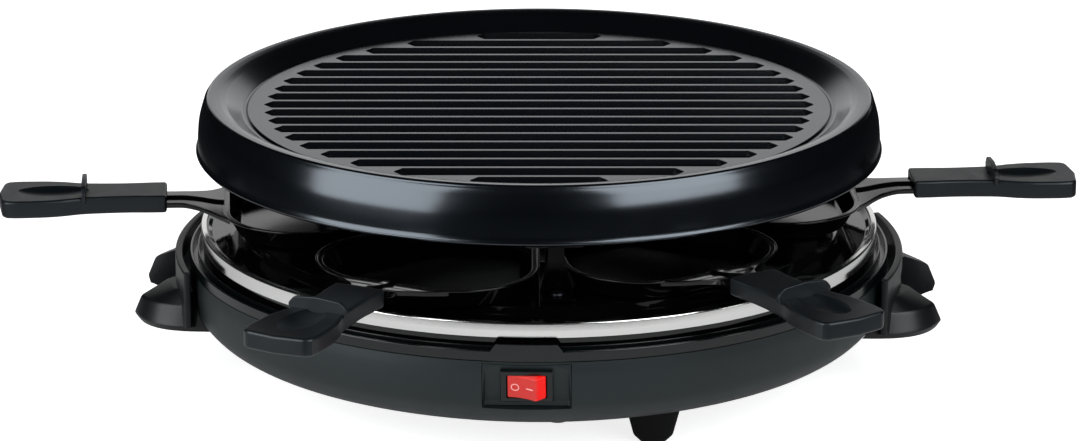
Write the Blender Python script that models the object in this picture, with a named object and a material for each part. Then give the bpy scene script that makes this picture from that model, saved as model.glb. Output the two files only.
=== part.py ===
"""Round table-top raclette grill: a ribbed grill plate on three legs above six pull-out pans.

Metres, +Z up. The feet stand on z = 0 and the round stack is centred on the Z axis.
The switch faces -Y and the two carrying handles face +X and -X.
"""

import math

import bmesh
import bpy
from mathutils import Matrix, Vector

# Fits
GAP = 0.0003
HOLE_PLAY = 0.0006

# Main sizes
BASE_RADIUS = 0.1712
PLATE_RADIUS = BASE_RADIUS - 0.0040
FOOT_HEIGHT = 0.0125
BOWL_HEIGHT = 0.0432
WALL = 0.0026
SHEET = 0.0010
ROUND_STEPS = 42
FRAME_STEPS = 36
SMALL_STEPS = 14
HOLE_STEPS = 10

# Turning of the loose stack and of the plate against the base
STACK_TURN = math.radians(5.7)
PLATE_TURN = math.radians(1.9)

# Bowl of the base
RIM_Z = FOOT_HEIGHT + BOWL_HEIGHT
BOWL_RADIUS_DROP_SHARES = (0.0023, 0.0, 0.0035, 0.0129, 0.0374, 0.0643, 0.0993, 0.1694, 0.2494)
BOWL_HEIGHT_SHARES = (1.0, 0.86, 0.66, 0.50, 0.37, 0.28, 0.205, 0.10, 0.0)

# Feet
FOOT_ANGLES = tuple(math.radians(degrees) for degrees in (-63.7, 56.3, 176.3))
FOOT_PLACE_SHARE = 0.76
FOOT_PLACE_RADIUS = BASE_RADIUS * FOOT_PLACE_SHARE
FOOT_TOP_RADIUS = 0.0122
FOOT_TIP_RADIUS = 0.0094
FOOT_ROUNDING = 0.0030
FOOT_RISE = 0.0070
STEM_RADIUS = 0.0035
STEM_HEIGHT = 0.0075

# Cover under the base
COVER_FOOT_CLEARANCE = 0.0059
COVER_RADIUS = FOOT_PLACE_RADIUS - FOOT_TOP_RADIUS - COVER_FOOT_CLEARANCE
COVER_THICKNESS = 0.0024
COVER_LAP = 0.009
COVER_OPENING_RADIUS = COVER_RADIUS - COVER_LAP
COVER_SCREW_RADIUS = COVER_RADIUS - COVER_LAP / 2
VENT_COUNT = 10
VENT_PLACE_SHARE = 0.7
VENT_LENGTH = 0.020
VENT_WIDTH = 0.004
SCREW_SHAFT_RADIUS = 0.0017
SCREW_HEAD_RADIUS = 0.0032
SCREW_HEAD_HEIGHT = 0.0016

# Trim collar on the bowl's rim
COLLAR_FOOT_Z = RIM_Z + GAP
COLLAR_STEP_HEIGHT = 0.0030
COLLAR_HEIGHT = 0.0046
COLLAR_OUTER_RADIUS = BASE_RADIUS - 0.0004
COLLAR_STEP_RADIUS = BASE_RADIUS - 0.0045
COLLAR_INNER_RADIUS = BASE_RADIUS - 0.0112
COLLAR_LEDGE_HEIGHT = 0.0010
SPIGOT_DEPTH = 0.0011
PAD_TOP_WIDTH = 0.028
PAD_FOOT_WIDTH = 0.035
PAD_RISE = 0.0034
PAD_DEPTH = 0.0042

# Reflector tray and its chrome ring
SKIRT_RADIUS = BASE_RADIUS - 0.0070
LEDGE_Z = COLLAR_FOOT_Z + COLLAR_LEDGE_HEIGHT
SKIRT_HEIGHT = 0.0145
TRAY_RIM_Z = LEDGE_Z + GAP + SKIRT_HEIGHT
TRAY_WALL_RADIUS = SKIRT_RADIUS - 0.0025
TRAY_GUTTER_DEPTH = 0.0018
TRAY_GUTTER_WIDTH = 0.0197
PLATFORM_RISE = 0.0031
PLATFORM_OUTER_RADIUS = TRAY_WALL_RADIUS - TRAY_GUTTER_WIDTH
PLATFORM_INNER_SHARE = 0.51
PLATFORM_INNER_RADIUS = PLATFORM_OUTER_RADIUS * PLATFORM_INNER_SHARE
RAMP = 0.004
TRAY_FLOOR_Z = TRAY_RIM_Z - TRAY_GUTTER_DEPTH
PLATFORM_Z = TRAY_FLOOR_Z + PLATFORM_RISE
RING_BAND = 0.0074
RING_SHEET = 0.0008
RING_HOOK = 0.0020

# Pans
PAN_COUNT = 6
PAN_DEPTH = 0.0106
PAN_FLOOR_Z = PLATFORM_Z + GAP
PAN_RIM_Z = PAN_FLOOR_Z + PAN_DEPTH
PAN_OUTER_END = PLATFORM_OUTER_RADIUS + 0.0125
PAN_INNER_SHARE = 0.304
PAN_INNER_END = PAN_OUTER_END * PAN_INNER_SHARE
PAN_INNER_HALF_WIDTH = PAN_INNER_END / 2
PAN_SIDE_ANGLE = math.radians(24.5)
PAN_OUTER_CORNER = PAN_OUTER_END / 5
PAN_INNER_CORNER = PAN_OUTER_END / 10
PAN_FLANGE = 0.0028
PAN_WALL_RUN = 0.0052
PAN_CORNER_STEPS = 4
PAN_PULLED_OUT = {1: 0.0020, 5: 0.0027, 6: -0.0060}

# Pan arm and grip
GRIP_START = PAN_OUTER_END + 0.0270
GRIP_LENGTH = 0.082
GRIP_THICKNESS = 0.0086
GRIP_WIDTHS = (0.0245, 0.0250, 0.0262, 0.0345, 0.0360)
GRIP_WIDTH_SHARES = (0.0, 0.30, 0.50, 0.66, 0.88)
GRIP_END_BOW = 0.0030
GRIP_END_CORNER = 0.0060
GRIP_EDGE = 0.0012
GRIP_CENTRE_Z = PAN_RIM_Z + 0.0028
ARM_SHEET = 0.0014
ARM_FOLD = 0.0026
ARM_RIB_RISE = 0.0013
ARM_RIB_WIDTH = 0.0070
ARM_ROOT_WIDTH = 0.040
ARM_WIDTH = 0.0205
ARM_INSERT = 0.026
FIN_PLACE = 0.040
FIN_WIDTH = 0.030
FIN_RISE = 0.0062
FIN_THICKNESS = 0.0022
SCOOP_LENGTH = 0.026
SCOOP_WIDTH = 0.024
SCOOP_DEPTH = 0.0024
SCOOP_SLOPE_SHARE = 0.8
SCOOP_OUTLINE_SHARES = ((1.0, 0.0), (0.85, 0.7), (0.5, 1.0), (0.0, 1.0))

# Legs, heater frame and heating element
LEG_COUNT = 3
LEG_FIRST_ANGLE = STACK_TURN - math.pi / 2
LEG_RADIUS = PLATFORM_OUTER_RADIUS - 0.0207
LEG_SHEET = 0.0015
LEG_FOOT_REACH = 0.0150
LEG_TOP_REACH = 0.0088
LEG_WIDTHS = (0.0170, 0.0150, 0.0085, 0.0062, 0.0150)
LEG_TAPER_HEIGHT = 0.0140
LEG_HEIGHT = 0.0531
LEG_SCREW_RADIUS = LEG_RADIUS + 0.0088
BOSS_RADIUS = 0.0050
BOSS_HOLE_DEPTH = 0.014
LEG_TOP_Z = PLATFORM_Z + GAP + LEG_HEIGHT
PLATE_UNDERSIDE_Z = LEG_TOP_Z + GAP
FRAME_OUTER_RADIUS = LEG_RADIUS - LEG_SHEET / 2 - GAP
FRAME_WIDTH = 0.0150
FRAME_TOP_Z = PLATE_UNDERSIDE_Z - 0.0168
FRAME_SHEET = 0.0015
ELEMENT_RADIUS = LEG_RADIUS - 0.0113
ELEMENT_TUBE = 0.00325
ELEMENT_Z = FRAME_TOP_Z + 0.0070
ELEMENT_END_SPREAD = 0.0085
ELEMENT_BEND = 0.0050
ELEMENT_BEND_SHARES = ((0.0, 1.0), (0.3, 0.33))
ELEMENT_STEPS = 24
CLIP_COUNT = 3
CLIP_STEPS = 6
CLIP_SHEET = 0.0012
CLIP_WIDTH = 0.0070

# Terminal block on its conduit, beside the front leg
BLOCK_SIZE = (0.0120, 0.0270, 0.0105)
BLOCK_TOP_Z = FRAME_TOP_Z - FRAME_SHEET - 0.0045
BLOCK_SOCKET_DEPTH = 0.0050
CONDUIT_RADIUS = 0.0045
CONDUIT_BORE_RADIUS = 0.0036
CONDUIT_FOOT_Z = PLATFORM_Z - 0.0171

# Grill plate
PLATE_TOP_Z = PLATE_UNDERSIDE_Z + 0.0104
PLATE_HEIGHT = 0.0276
PLATE_SKIRT_Z = PLATE_TOP_Z - PLATE_HEIGHT
PLATE_WALL = 0.0035
SKIRT_DROP_SHARES = (0.0269, 0.0132, 0.0084, 0.0060, 0.0, 0.0072)
SKIRT_HEIGHT_SHARES = (0.90, 0.61, 0.36, 0.127, 0.05, 0.0)
LIP_OUTER_RADIUS = PLATE_RADIUS - 0.0062
LIP_INNER_RADIUS = PLATE_RADIUS - 0.0142
GUTTER_OUTER_RADIUS = PLATE_RADIUS - 0.0232
GUTTER_INNER_RADIUS = PLATE_RADIUS - 0.0285
FLOOR_EDGE_RADIUS = PLATE_RADIUS - 0.0302
GUTTER_DROP = 0.0104
FLOOR_DROP = 0.0070
RIDGE_COUNT = 19
RIDGE_TIP_RADIUS = PLATE_RADIUS - 0.0308
RIDGE_BAND_SHARE = 0.9594
RIDGE_PITCH = 2 * RIDGE_TIP_RADIUS * RIDGE_BAND_SHARE / (RIDGE_COUNT - 1)
RIDGE_HEIGHT = 0.0030
RIDGE_TOP_WIDTH = 0.0026
RIDGE_FOOT_WIDTH = 0.0058
RIDGE_HIP = 0.0034

# Side handles
HANDLE_ROOT = BASE_RADIUS - 0.0142
TAB_REACHES = (BASE_RADIUS + 0.0258, BASE_RADIUS + 0.0278, BASE_RADIUS + 0.0248, BASE_RADIUS + 0.0108)
TAB_HALF_SPANS = (0.0505, 0.0525, 0.0495, 0.0450)
TAB_HEIGHTS = (RIM_Z - 0.0270, RIM_Z - 0.0240, RIM_Z - 0.0147, RIM_Z - 0.0087)
TAB_ROUNDNESS = 0.58
TAB_STEPS = 16
CRESCENT_RADIUS = BASE_RADIUS + 0.0069
CRESCENT_HALF_TURN = math.radians(18.5)
CRESCENT_WALL = 0.0036
CRESCENT_TOP_Z = COLLAR_FOOT_Z + COLLAR_HEIGHT - GAP
CRESCENT_STEPS = 10
SCALLOP_RADIUS = 0.040
SCALLOP_PLACE = BASE_RADIUS + 0.0545
SCALLOP_TILT = math.radians(33)

# Switch
SWITCH_TILT = math.radians(19)
SWITCH_FACE_RADIUS = BASE_RADIUS - 0.0040
SWITCH_Z = RIM_Z - 0.0118
PANEL_SIZE = (0.0406, 0.0219, 0.0024)
BEZEL_SIZE = (0.0242, 0.0176, 0.0016)
SWITCH_BOX_SIZE = (0.0216, 0.0152, 0.0160)
SWITCH_POCKET_SIZE = (0.0188, 0.0132, 0.0088)
ROCKER_HALF_LENGTH = 0.0088
ROCKER_WIDTH = 0.0124
ROCKER_END_RISE = 0.0022
ROCKER_MID_RISE = 0.0010
ROCKER_SHOULDER = (0.0082, 0.0020)
ROCKER_KEEL = (0.0050, 0.0046)
ROCKER_THROW = math.radians(20)
LAMP_RADIUS = 0.0012
LAMP_LENGTH = 0.0090
TAB_SIZE = (0.0008, 0.0048, 0.0070)
TAB_SPACING = 0.0065

# Cord inlet and wiring
GLAND_Z = RIM_Z - 0.0157
GLAND_FLANGE_RADIUS = 0.0080
GLAND_NECK_RADIUS = 0.0058
GLAND_BORE_RADIUS = 0.0038
GLAND_FLANGE = 0.0040
GLAND_NECK = 0.0120
STRIP_SIZE = (0.030, 0.014, 0.011)
STRIP_Y = BASE_RADIUS - 0.0592
WIRE_RADIUS = 0.0013
WIRE_RUN_SHARE = 0.16
WIRE_STEPS = 11


def clear_scene():
    for existing in list(bpy.data.objects):
        bpy.data.objects.remove(existing)


# Materials
def principled(name, color, roughness, metallic=0.0, coat=0.0):
    material = bpy.data.materials.new(name)
    material.use_nodes = True
    shader = material.node_tree.nodes["Principled BSDF"]
    shader.inputs["Base Color"].default_value = (*color, 1.0)
    shader.inputs["Roughness"].default_value = roughness
    shader.inputs["Metallic"].default_value = metallic
    shader.inputs["Coat Weight"].default_value = coat
    return material


def make_materials():
    return {
        "housing": principled("housing_plastic", (0.028, 0.031, 0.034), 0.55),
        "trim": principled("trim_plastic", (0.012, 0.013, 0.015), 0.35),
        "handle": principled("handle_plastic", (0.024, 0.026, 0.029), 0.50),
        "grip": principled("grip_plastic", (0.022, 0.025, 0.031), 0.55),
        "enamel": principled("black_enamel", (0.006, 0.006, 0.007), 0.08, 0.0, 0.5),
        "chrome": principled("chrome", (0.78, 0.79, 0.80), 0.12, 1.0),
        "plate": principled("plate_coating", (0.012, 0.014, 0.020), 0.30, 0.0, 0.3),
        "pan": principled("pan_coating", (0.008, 0.008, 0.009), 0.12, 0.0, 0.4),
        "steel": principled("steel", (0.45, 0.45, 0.46), 0.35, 1.0),
        "black_steel": principled("black_steel", (0.010, 0.010, 0.011), 0.25),
        "ceramic": principled("ceramic", (0.75, 0.72, 0.66), 0.50),
        "brass": principled("brass", (0.75, 0.58, 0.28), 0.30, 1.0),
        "rubber": principled("rubber", (0.015, 0.015, 0.016), 0.80),
        "switch": principled("switch_plastic", (0.015, 0.016, 0.018), 0.40),
        "red": principled("rocker_red", (0.75, 0.02, 0.02), 0.20),
        "lamp": principled("lamp", (0.95, 0.45, 0.20), 0.15),
        "wire": principled("wire_cover", (0.55, 0.57, 0.58), 0.55),
    }


# Shape helpers
def finish(name, mesh_data, material):
    bmesh.ops.recalc_face_normals(mesh_data, faces=mesh_data.faces)
    mesh = bpy.data.meshes.new(name)
    mesh_data.to_mesh(mesh)
    mesh_data.free()
    piece = bpy.data.objects.new(name, mesh)
    bpy.context.scene.collection.objects.link(piece)
    if material:
        mesh.materials.append(material)
        mesh.shade_smooth()
        mesh.set_sharp_from_angle(angle=math.radians(30))
    return piece


def cap_open_ends(mesh_data):
    open_edges = [edge for edge in mesh_data.edges if edge.is_boundary]
    bmesh.ops.holes_fill(mesh_data, edges=open_edges, sides=0)


def turned(profile, steps, closed=True):
    """A profile of (radius, z) points turned about Z. An open profile gets flat caps."""
    mesh_data = bmesh.new()
    points = [mesh_data.verts.new((radius, 0.0, z)) for radius, z in profile]
    lines = [mesh_data.edges.new(pair) for pair in zip(points, points[1:])]
    if closed:
        lines.append(mesh_data.edges.new((points[-1], points[0])))
    bmesh.ops.spin(mesh_data, geom=points + lines, cent=(0, 0, 0), axis=(0, 0, 1),
                   angle=math.tau, steps=steps, use_merge=True)
    if not closed:
        cap_open_ends(mesh_data)
    return mesh_data


def lofted(rings):
    """Closed rings of equal length, joined one to the next and capped at both ends."""
    mesh_data = bmesh.new()
    loops = [[mesh_data.verts.new(point) for point in ring] for ring in rings]
    for lower, upper in zip(loops, loops[1:]):
        for index, corner in enumerate(lower):
            after = (index + 1) % len(lower)
            mesh_data.faces.new((corner, lower[after], upper[after], upper[index]))
    mesh_data.faces.new(loops[0][::-1])
    mesh_data.faces.new(loops[-1])
    return mesh_data


def prism(outline, low, high):
    """An outline of (x, y) points raised from low to high."""
    return lofted([[(x, y, z) for x, y in outline] for z in (low, high)])


def rectangle(length, width):
    return [(-length / 2, -width / 2), (length / 2, -width / 2),
            (length / 2, width / 2), (-length / 2, width / 2)]


def block(size, low=0.0):
    return prism(rectangle(size[0], size[1]), low, low + size[2])


def circle(radius, steps=HOLE_STEPS, centre=(0.0, 0.0)):
    turns = [math.tau * index / steps for index in range(steps)]
    return [(centre[0] + radius * math.cos(turn), centre[1] + radius * math.sin(turn)) for turn in turns]


def rod(radius, low, high, steps=HOLE_STEPS, centre=(0.0, 0.0)):
    return prism(circle(radius, steps, centre), low, high)


def arc(centre, radius, start, end, steps):
    turns = [start + (end - start) * index / steps for index in range(steps + 1)]
    return [(centre[0] + radius * math.cos(turn), centre[1] + radius * math.sin(turn)) for turn in turns]


def merged(parts):
    """Several separate solids held by one mesh."""
    whole = bmesh.new()
    for part in parts:
        mesh = bpy.data.meshes.new("part")
        part.to_mesh(mesh)
        part.free()
        whole.from_mesh(mesh)
        bpy.data.meshes.remove(mesh)
    return whole


def moved(mesh_data, matrix):
    bmesh.ops.transform(mesh_data, matrix=matrix, verts=mesh_data.verts)
    return mesh_data


def bevelled(mesh_data, width, pick, segments=1):
    edges = [edge for edge in mesh_data.edges if pick(edge)]
    bmesh.ops.bevel(mesh_data, geom=edges, offset=width, segments=segments, affect="EDGES")
    return mesh_data


def at_angle(angle, radius=0.0, z=0.0):
    """A frame turned about Z whose +X points outwards, moved out along it."""
    return Matrix.Rotation(angle, 4, "Z") @ Matrix.Translation((radius, 0.0, z))


def shape_with(target, mesh_data, operation="DIFFERENCE"):
    """Cut a solid out of the target, or join it to the target."""
    tool = finish(target.name + "_tool", mesh_data, None)
    tool.hide_render = True
    tool.display_type = "WIRE"
    modifier = target.modifiers.new(operation.lower(), "BOOLEAN")
    modifier.object = tool
    modifier.operation = operation
    modifier.solver = "EXACT"
    return tool


def set_origin(piece, place):
    piece.data.transform(Matrix.Translation(-Vector(place)))
    for modifier in piece.modifiers:
        modifier.object.location = place
        modifier.object.data.transform(Matrix.Translation(-Vector(place)))
    piece.location = place


# Base
def bowl_outline(offset=0.0):
    """Outer face of the bowl, from its rim down to the edge of its flat floor."""
    points = []
    for drop, height in zip(BOWL_RADIUS_DROP_SHARES, BOWL_HEIGHT_SHARES):
        radius = BASE_RADIUS * (1 - drop) + offset
        points.append((radius, FOOT_HEIGHT + BOWL_HEIGHT * height))
    return points


def inset(points, distance):
    """The points of a downward outline moved inwards, each along its own normal."""
    moved_points = []
    for index, (radius, z) in enumerate(points):
        before = points[max(index - 1, 0)]
        after = points[min(index + 1, len(points) - 1)]
        along = Vector((after[0] - before[0], after[1] - before[1])).normalized()
        moved_points.append((radius + along.y * distance, z - along.x * distance))
    return moved_points


def make_base_housing(materials):
    outer = bowl_outline()
    floor = [(COVER_OPENING_RADIUS, FOOT_HEIGHT)]
    inner = inset(outer[::2] + floor, WALL)
    inner[0] = (inner[0][0], RIM_Z)
    housing = finish("base_housing", turned(outer + floor + inner[::-1], ROUND_STEPS), materials["housing"])
    boss_top = PLATFORM_Z - SHEET - GAP
    bosses = [moved(rod(BOSS_RADIUS, FOOT_HEIGHT + WALL / 2, boss_top), at_angle(angle, LEG_SCREW_RADIUS))
              for angle in leg_angles()]
    shape_with(housing, merged(bosses), "UNION")
    through = (FOOT_HEIGHT - WALL, FOOT_HEIGHT + 2 * WALL)
    holes = [moved(rod(SCREW_SHAFT_RADIUS + GAP, boss_top - BOSS_HOLE_DEPTH, boss_top + WALL),
                   at_angle(angle, LEG_SCREW_RADIUS)) for angle in leg_angles()]
    holes += [moved(rod(STEM_RADIUS + GAP, *through), at_angle(angle, FOOT_PLACE_RADIUS))
              for angle in FOOT_ANGLES]
    holes += [moved(rod(SCREW_SHAFT_RADIUS + GAP, *through), at_angle(angle, COVER_SCREW_RADIUS))
              for angle in leg_angles()]
    holes.append(moved(rod(GLAND_NECK_RADIUS + GAP, -GLAND_NECK, GLAND_NECK), gland_frame()))
    panel = (PANEL_SIZE[0] + 2 * GAP, PANEL_SIZE[1] + 2 * GAP, 4 * GLAND_NECK)
    holes.append(moved(block(panel, -2 * GLAND_NECK), switch_frame()))
    shape_with(housing, merged(holes))


def make_bottom_cover(materials):
    low = FOOT_HEIGHT - GAP - COVER_THICKNESS
    disc = rod(COVER_RADIUS, low, low + COVER_THICKNESS, ROUND_STEPS)
    rounded = bevelled(disc, GRIP_EDGE, lambda edge: is_rim_at(edge, low))
    cover = finish("bottom_cover", rounded, materials["housing"])
    through = (low - WALL, low + 2 * WALL)
    holes = [moved(rod(SCREW_SHAFT_RADIUS + GAP, *through), at_angle(angle, COVER_SCREW_RADIUS))
             for angle in leg_angles()]
    vent = prism(rectangle(VENT_LENGTH, VENT_WIDTH), *through)
    vent_place = COVER_RADIUS * VENT_PLACE_SHARE
    turns = [math.tau * (index + 0.5) / VENT_COUNT for index in range(VENT_COUNT)]
    holes += [moved(vent.copy(), at_angle(turn, vent_place)) for turn in turns]
    vent.free()
    shape_with(cover, merged(holes))


def is_rim_at(edge, z):
    return all(abs(vert.co.z - z) < GAP / 10 for vert in edge.verts)


def screw(shaft_low, shaft_high, head_low, head_high):
    """A pan-head screw as one turned solid, its head at one end of the shaft."""
    if head_high <= shaft_low + GAP:
        profile = [(SCREW_SHAFT_RADIUS, shaft_high), (SCREW_SHAFT_RADIUS, head_high),
                   (SCREW_HEAD_RADIUS, head_high), (SCREW_HEAD_RADIUS, head_low)]
    else:
        profile = [(SCREW_HEAD_RADIUS, head_high), (SCREW_HEAD_RADIUS, head_low),
                   (SCREW_SHAFT_RADIUS, head_low), (SCREW_SHAFT_RADIUS, shaft_low)]
    return turned(profile, HOLE_STEPS, closed=False)


def make_cover_screws(materials):
    head_top = FOOT_HEIGHT - 2 * GAP - COVER_THICKNESS
    for number, angle in enumerate(leg_angles(), start=1):
        shape = screw(head_top, FOOT_HEIGHT + 2 * WALL, head_top - SCREW_HEAD_HEIGHT, head_top)
        finish(f"cover_screw_{number}", moved(shape, at_angle(angle, COVER_SCREW_RADIUS)), materials["steel"])


def make_feet(materials):
    """Tapered rubber feet shaped to the underside of the bowl, each with a stem in its hole."""
    top = FOOT_HEIGHT + FOOT_RISE
    slope = (FOOT_TOP_RADIUS - FOOT_TIP_RADIUS) / FOOT_HEIGHT
    profile = [(FOOT_TOP_RADIUS + slope * FOOT_RISE, top), (FOOT_TIP_RADIUS, FOOT_ROUNDING),
               (FOOT_TIP_RADIUS - FOOT_ROUNDING, 0.0)]
    for number, angle in enumerate(FOOT_ANGLES, start=1):
        place = at_angle(angle, FOOT_PLACE_RADIUS)
        foot = finish(f"foot_{number}", moved(turned(profile, SMALL_STEPS, closed=False), place),
                      materials["rubber"])
        shape_with(foot, bowl_envelope())
        stem = rod(STEM_RADIUS, FOOT_HEIGHT - FOOT_ROUNDING, FOOT_HEIGHT + STEM_HEIGHT)
        shape_with(foot, moved(stem, place), "UNION")


def make_trim_collar(materials):
    step_z = COLLAR_FOOT_Z + COLLAR_STEP_HEIGHT
    top_z = COLLAR_FOOT_Z + COLLAR_HEIGHT
    wall_inside = BASE_RADIUS * (1 - BOWL_RADIUS_DROP_SHARES[0]) - WALL - HOLE_PLAY
    seat = SKIRT_RADIUS + HOLE_PLAY
    profile = [(COLLAR_STEP_RADIUS, top_z), (COLLAR_STEP_RADIUS, step_z), (COLLAR_OUTER_RADIUS, step_z),
               (COLLAR_OUTER_RADIUS, COLLAR_FOOT_Z), (wall_inside, COLLAR_FOOT_Z),
               (wall_inside, COLLAR_FOOT_Z - SPIGOT_DEPTH),
               (COLLAR_INNER_RADIUS, COLLAR_FOOT_Z - SPIGOT_DEPTH),
               (COLLAR_INNER_RADIUS, LEDGE_Z), (seat, LEDGE_Z), (seat, top_z)]
    collar = finish("trim_collar", turned(profile, ROUND_STEPS), materials["trim"])
    pad = [(-PAD_FOOT_WIDTH / 2, COLLAR_STEP_HEIGHT / 2), (PAD_FOOT_WIDTH / 2, COLLAR_STEP_HEIGHT / 2),
           (PAD_TOP_WIDTH / 2, COLLAR_HEIGHT + PAD_RISE), (-PAD_TOP_WIDTH / 2, COLLAR_HEIGHT + PAD_RISE)]
    front = Matrix.Translation((0, -COLLAR_OUTER_RADIUS, COLLAR_FOOT_Z))
    upright = front @ Matrix.Rotation(math.pi / 2, 4, "X")
    shape_with(collar, moved(prism(pad, -PAD_DEPTH, 0.0), upright), "UNION")


def bowl_envelope():
    """Solid a gap wider than the bowl and its collar."""
    outline = [(COLLAR_OUTER_RADIUS + GAP, CRESCENT_TOP_Z + WALL)] + bowl_outline(GAP)
    outline[-1] = (outline[-1][0], FOOT_HEIGHT - GAP)
    return turned(outline, ROUND_STEPS, closed=False)


def make_side_handles(materials):
    for name, angle in (("side_handle_right", 0.0), ("side_handle_left", math.pi)):
        handle = finish(name, moved(handle_tab(), at_angle(angle)), materials["handle"])
        shape_with(handle, moved(handle_crescent(), at_angle(angle)), "UNION")
        shape_with(handle, moved(handle_scallop(), at_angle(angle)))
        shape_with(handle, bowl_envelope())


def handle_outline(reach, half_span, z):
    """Rounded outer edge of the tab, closed by a chord inside the bowl."""
    points = [(HANDLE_ROOT, -half_span, z)]
    for index in range(1, TAB_STEPS):
        turn = math.pi * (index / TAB_STEPS - 1 / 2)
        across = math.copysign(abs(math.sin(turn)) ** TAB_ROUNDNESS, turn)
        out = abs(math.cos(turn)) ** TAB_ROUNDNESS
        points.append((HANDLE_ROOT + (reach - HANDLE_ROOT) * out, half_span * across, z))
    points.append((HANDLE_ROOT, half_span, z))
    return points


def handle_tab():
    return lofted([handle_outline(*values) for values in zip(TAB_REACHES, TAB_HALF_SPANS, TAB_HEIGHTS)])


def handle_crescent():
    """Upright curved wall that runs round the bowl a little way off it."""
    centre = (0.0, 0.0)
    outer = arc(centre, CRESCENT_RADIUS, -CRESCENT_HALF_TURN, CRESCENT_HALF_TURN, CRESCENT_STEPS)
    inside = CRESCENT_RADIUS - CRESCENT_WALL
    inner = arc(centre, inside, CRESCENT_HALF_TURN, -CRESCENT_HALF_TURN, CRESCENT_STEPS)
    wall = prism(outer + inner, TAB_HEIGHTS[1], CRESCENT_TOP_Z)
    return bevelled(wall, CRESCENT_WALL / 4, lambda edge: is_rim_at(edge, CRESCENT_TOP_Z))


def handle_scallop():
    """Leaning cylinder that hollows the middle of the tab's edge for the fingers."""
    middle = Matrix.Translation((SCALLOP_PLACE, 0.0, (TAB_HEIGHTS[1] + TAB_HEIGHTS[2]) / 2))
    cutter = rod(SCALLOP_RADIUS, -SCALLOP_RADIUS, SCALLOP_RADIUS, ROUND_STEPS)
    return moved(cutter, middle @ Matrix.Rotation(-SCALLOP_TILT, 4, "Y"))


# Tray and chrome ring
def make_reflector_tray(materials):
    skirt_foot = LEDGE_Z + GAP
    top = [(PLATFORM_INNER_RADIUS - RAMP, TRAY_FLOOR_Z), (PLATFORM_INNER_RADIUS, PLATFORM_Z),
           (PLATFORM_OUTER_RADIUS, PLATFORM_Z), (PLATFORM_OUTER_RADIUS + RAMP, TRAY_FLOOR_Z),
           (TRAY_WALL_RADIUS - RAMP / 2, TRAY_FLOOR_Z), (TRAY_WALL_RADIUS, TRAY_RIM_Z),
           (SKIRT_RADIUS, TRAY_RIM_Z)]
    skirt = [(SKIRT_RADIUS, skirt_foot), (SKIRT_RADIUS - SHEET, skirt_foot),
             (SKIRT_RADIUS - SHEET, TRAY_FLOOR_Z - SHEET)]
    under = [(radius, z - SHEET) for radius, z in reversed(top[:4])]
    whole = turned(top + skirt + under, ROUND_STEPS, closed=False)
    tray = finish("reflector_tray", whole, materials["enamel"])
    through = (TRAY_FLOOR_Z - WALL, PLATFORM_Z + WALL)
    holes = [moved(rod(SCREW_SHAFT_RADIUS + GAP, *through), at_angle(angle, LEG_SCREW_RADIUS))
             for angle in leg_angles()]
    holes.append(moved(rod(CONDUIT_RADIUS + GAP, *through), at_angle(LEG_FIRST_ANGLE, ELEMENT_RADIUS)))
    shape_with(tray, merged(holes))


def make_chrome_ring(materials):
    top = TRAY_RIM_Z + GAP
    inner = SKIRT_RADIUS + GAP
    outer = inner + RING_SHEET
    profile = [(outer - RING_SHEET, top + RING_SHEET), (outer, top), (outer, top + RING_SHEET - RING_BAND),
               (inner, top + RING_SHEET - RING_BAND), (inner, top), (inner - RING_HOOK, top),
               (inner - RING_HOOK, top + RING_SHEET)]
    finish("chrome_ring", turned(profile, ROUND_STEPS), materials["chrome"])


# Pans
def pan_angle(number):
    return STACK_TURN + math.tau * (number - 1) / PAN_COUNT


def pan_ring(inset, z):
    """Rounded fan outline of a pan along +X, drawn in by an inset."""
    inner_x = PAN_INNER_END + inset
    outer_x = PAN_OUTER_END - inset
    slope = math.tan(PAN_SIDE_ANGLE)
    side = PAN_INNER_HALF_WIDTH - inset / math.cos(PAN_SIDE_ANGLE)
    inner_half = side + inset * slope
    outer_half = side + (outer_x - PAN_INNER_END) * slope
    corners = [(inner_x, -inner_half, PAN_INNER_CORNER), (outer_x, -outer_half, PAN_OUTER_CORNER),
               (outer_x, outer_half, PAN_OUTER_CORNER), (inner_x, inner_half, PAN_INNER_CORNER)]
    points = []
    for index, (x, y, radius) in enumerate(corners):
        before = Vector(corners[index - 1][:2])
        after = Vector(corners[(index + 1) % len(corners)][:2])
        points += rounded_corner(before, Vector((x, y)), after, radius - inset)
    return [(x, y, z) for x, y in points]


def rounded_corner(before, corner, after, radius):
    """Points of the arc that replaces a corner of an outline that runs anticlockwise."""
    arriving = (corner - before).normalized()
    leaving = (after - corner).normalized()
    turn = arriving.angle_signed(leaving) * -1
    centre = corner - arriving * radius * math.tan(turn / 2) + Vector((-arriving.y, arriving.x)) * radius
    start = math.atan2(-arriving.x, arriving.y)
    return arc(centre, radius, start, start + turn, PAN_CORNER_STEPS)


def pan_dish():
    wall_foot = PAN_FLANGE + PAN_WALL_RUN
    half = SHEET / 2
    levels = [(wall_foot + half, PAN_FLOOR_Z + SHEET), (PAN_FLANGE + half, PAN_RIM_Z), (0.0, PAN_RIM_Z),
              (0.0, PAN_RIM_Z - SHEET), (PAN_FLANGE - half, PAN_RIM_Z - SHEET),
              (wall_foot - half, PAN_FLOOR_Z)]
    return lofted([pan_ring(inwards, z) for inwards, z in levels])


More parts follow.
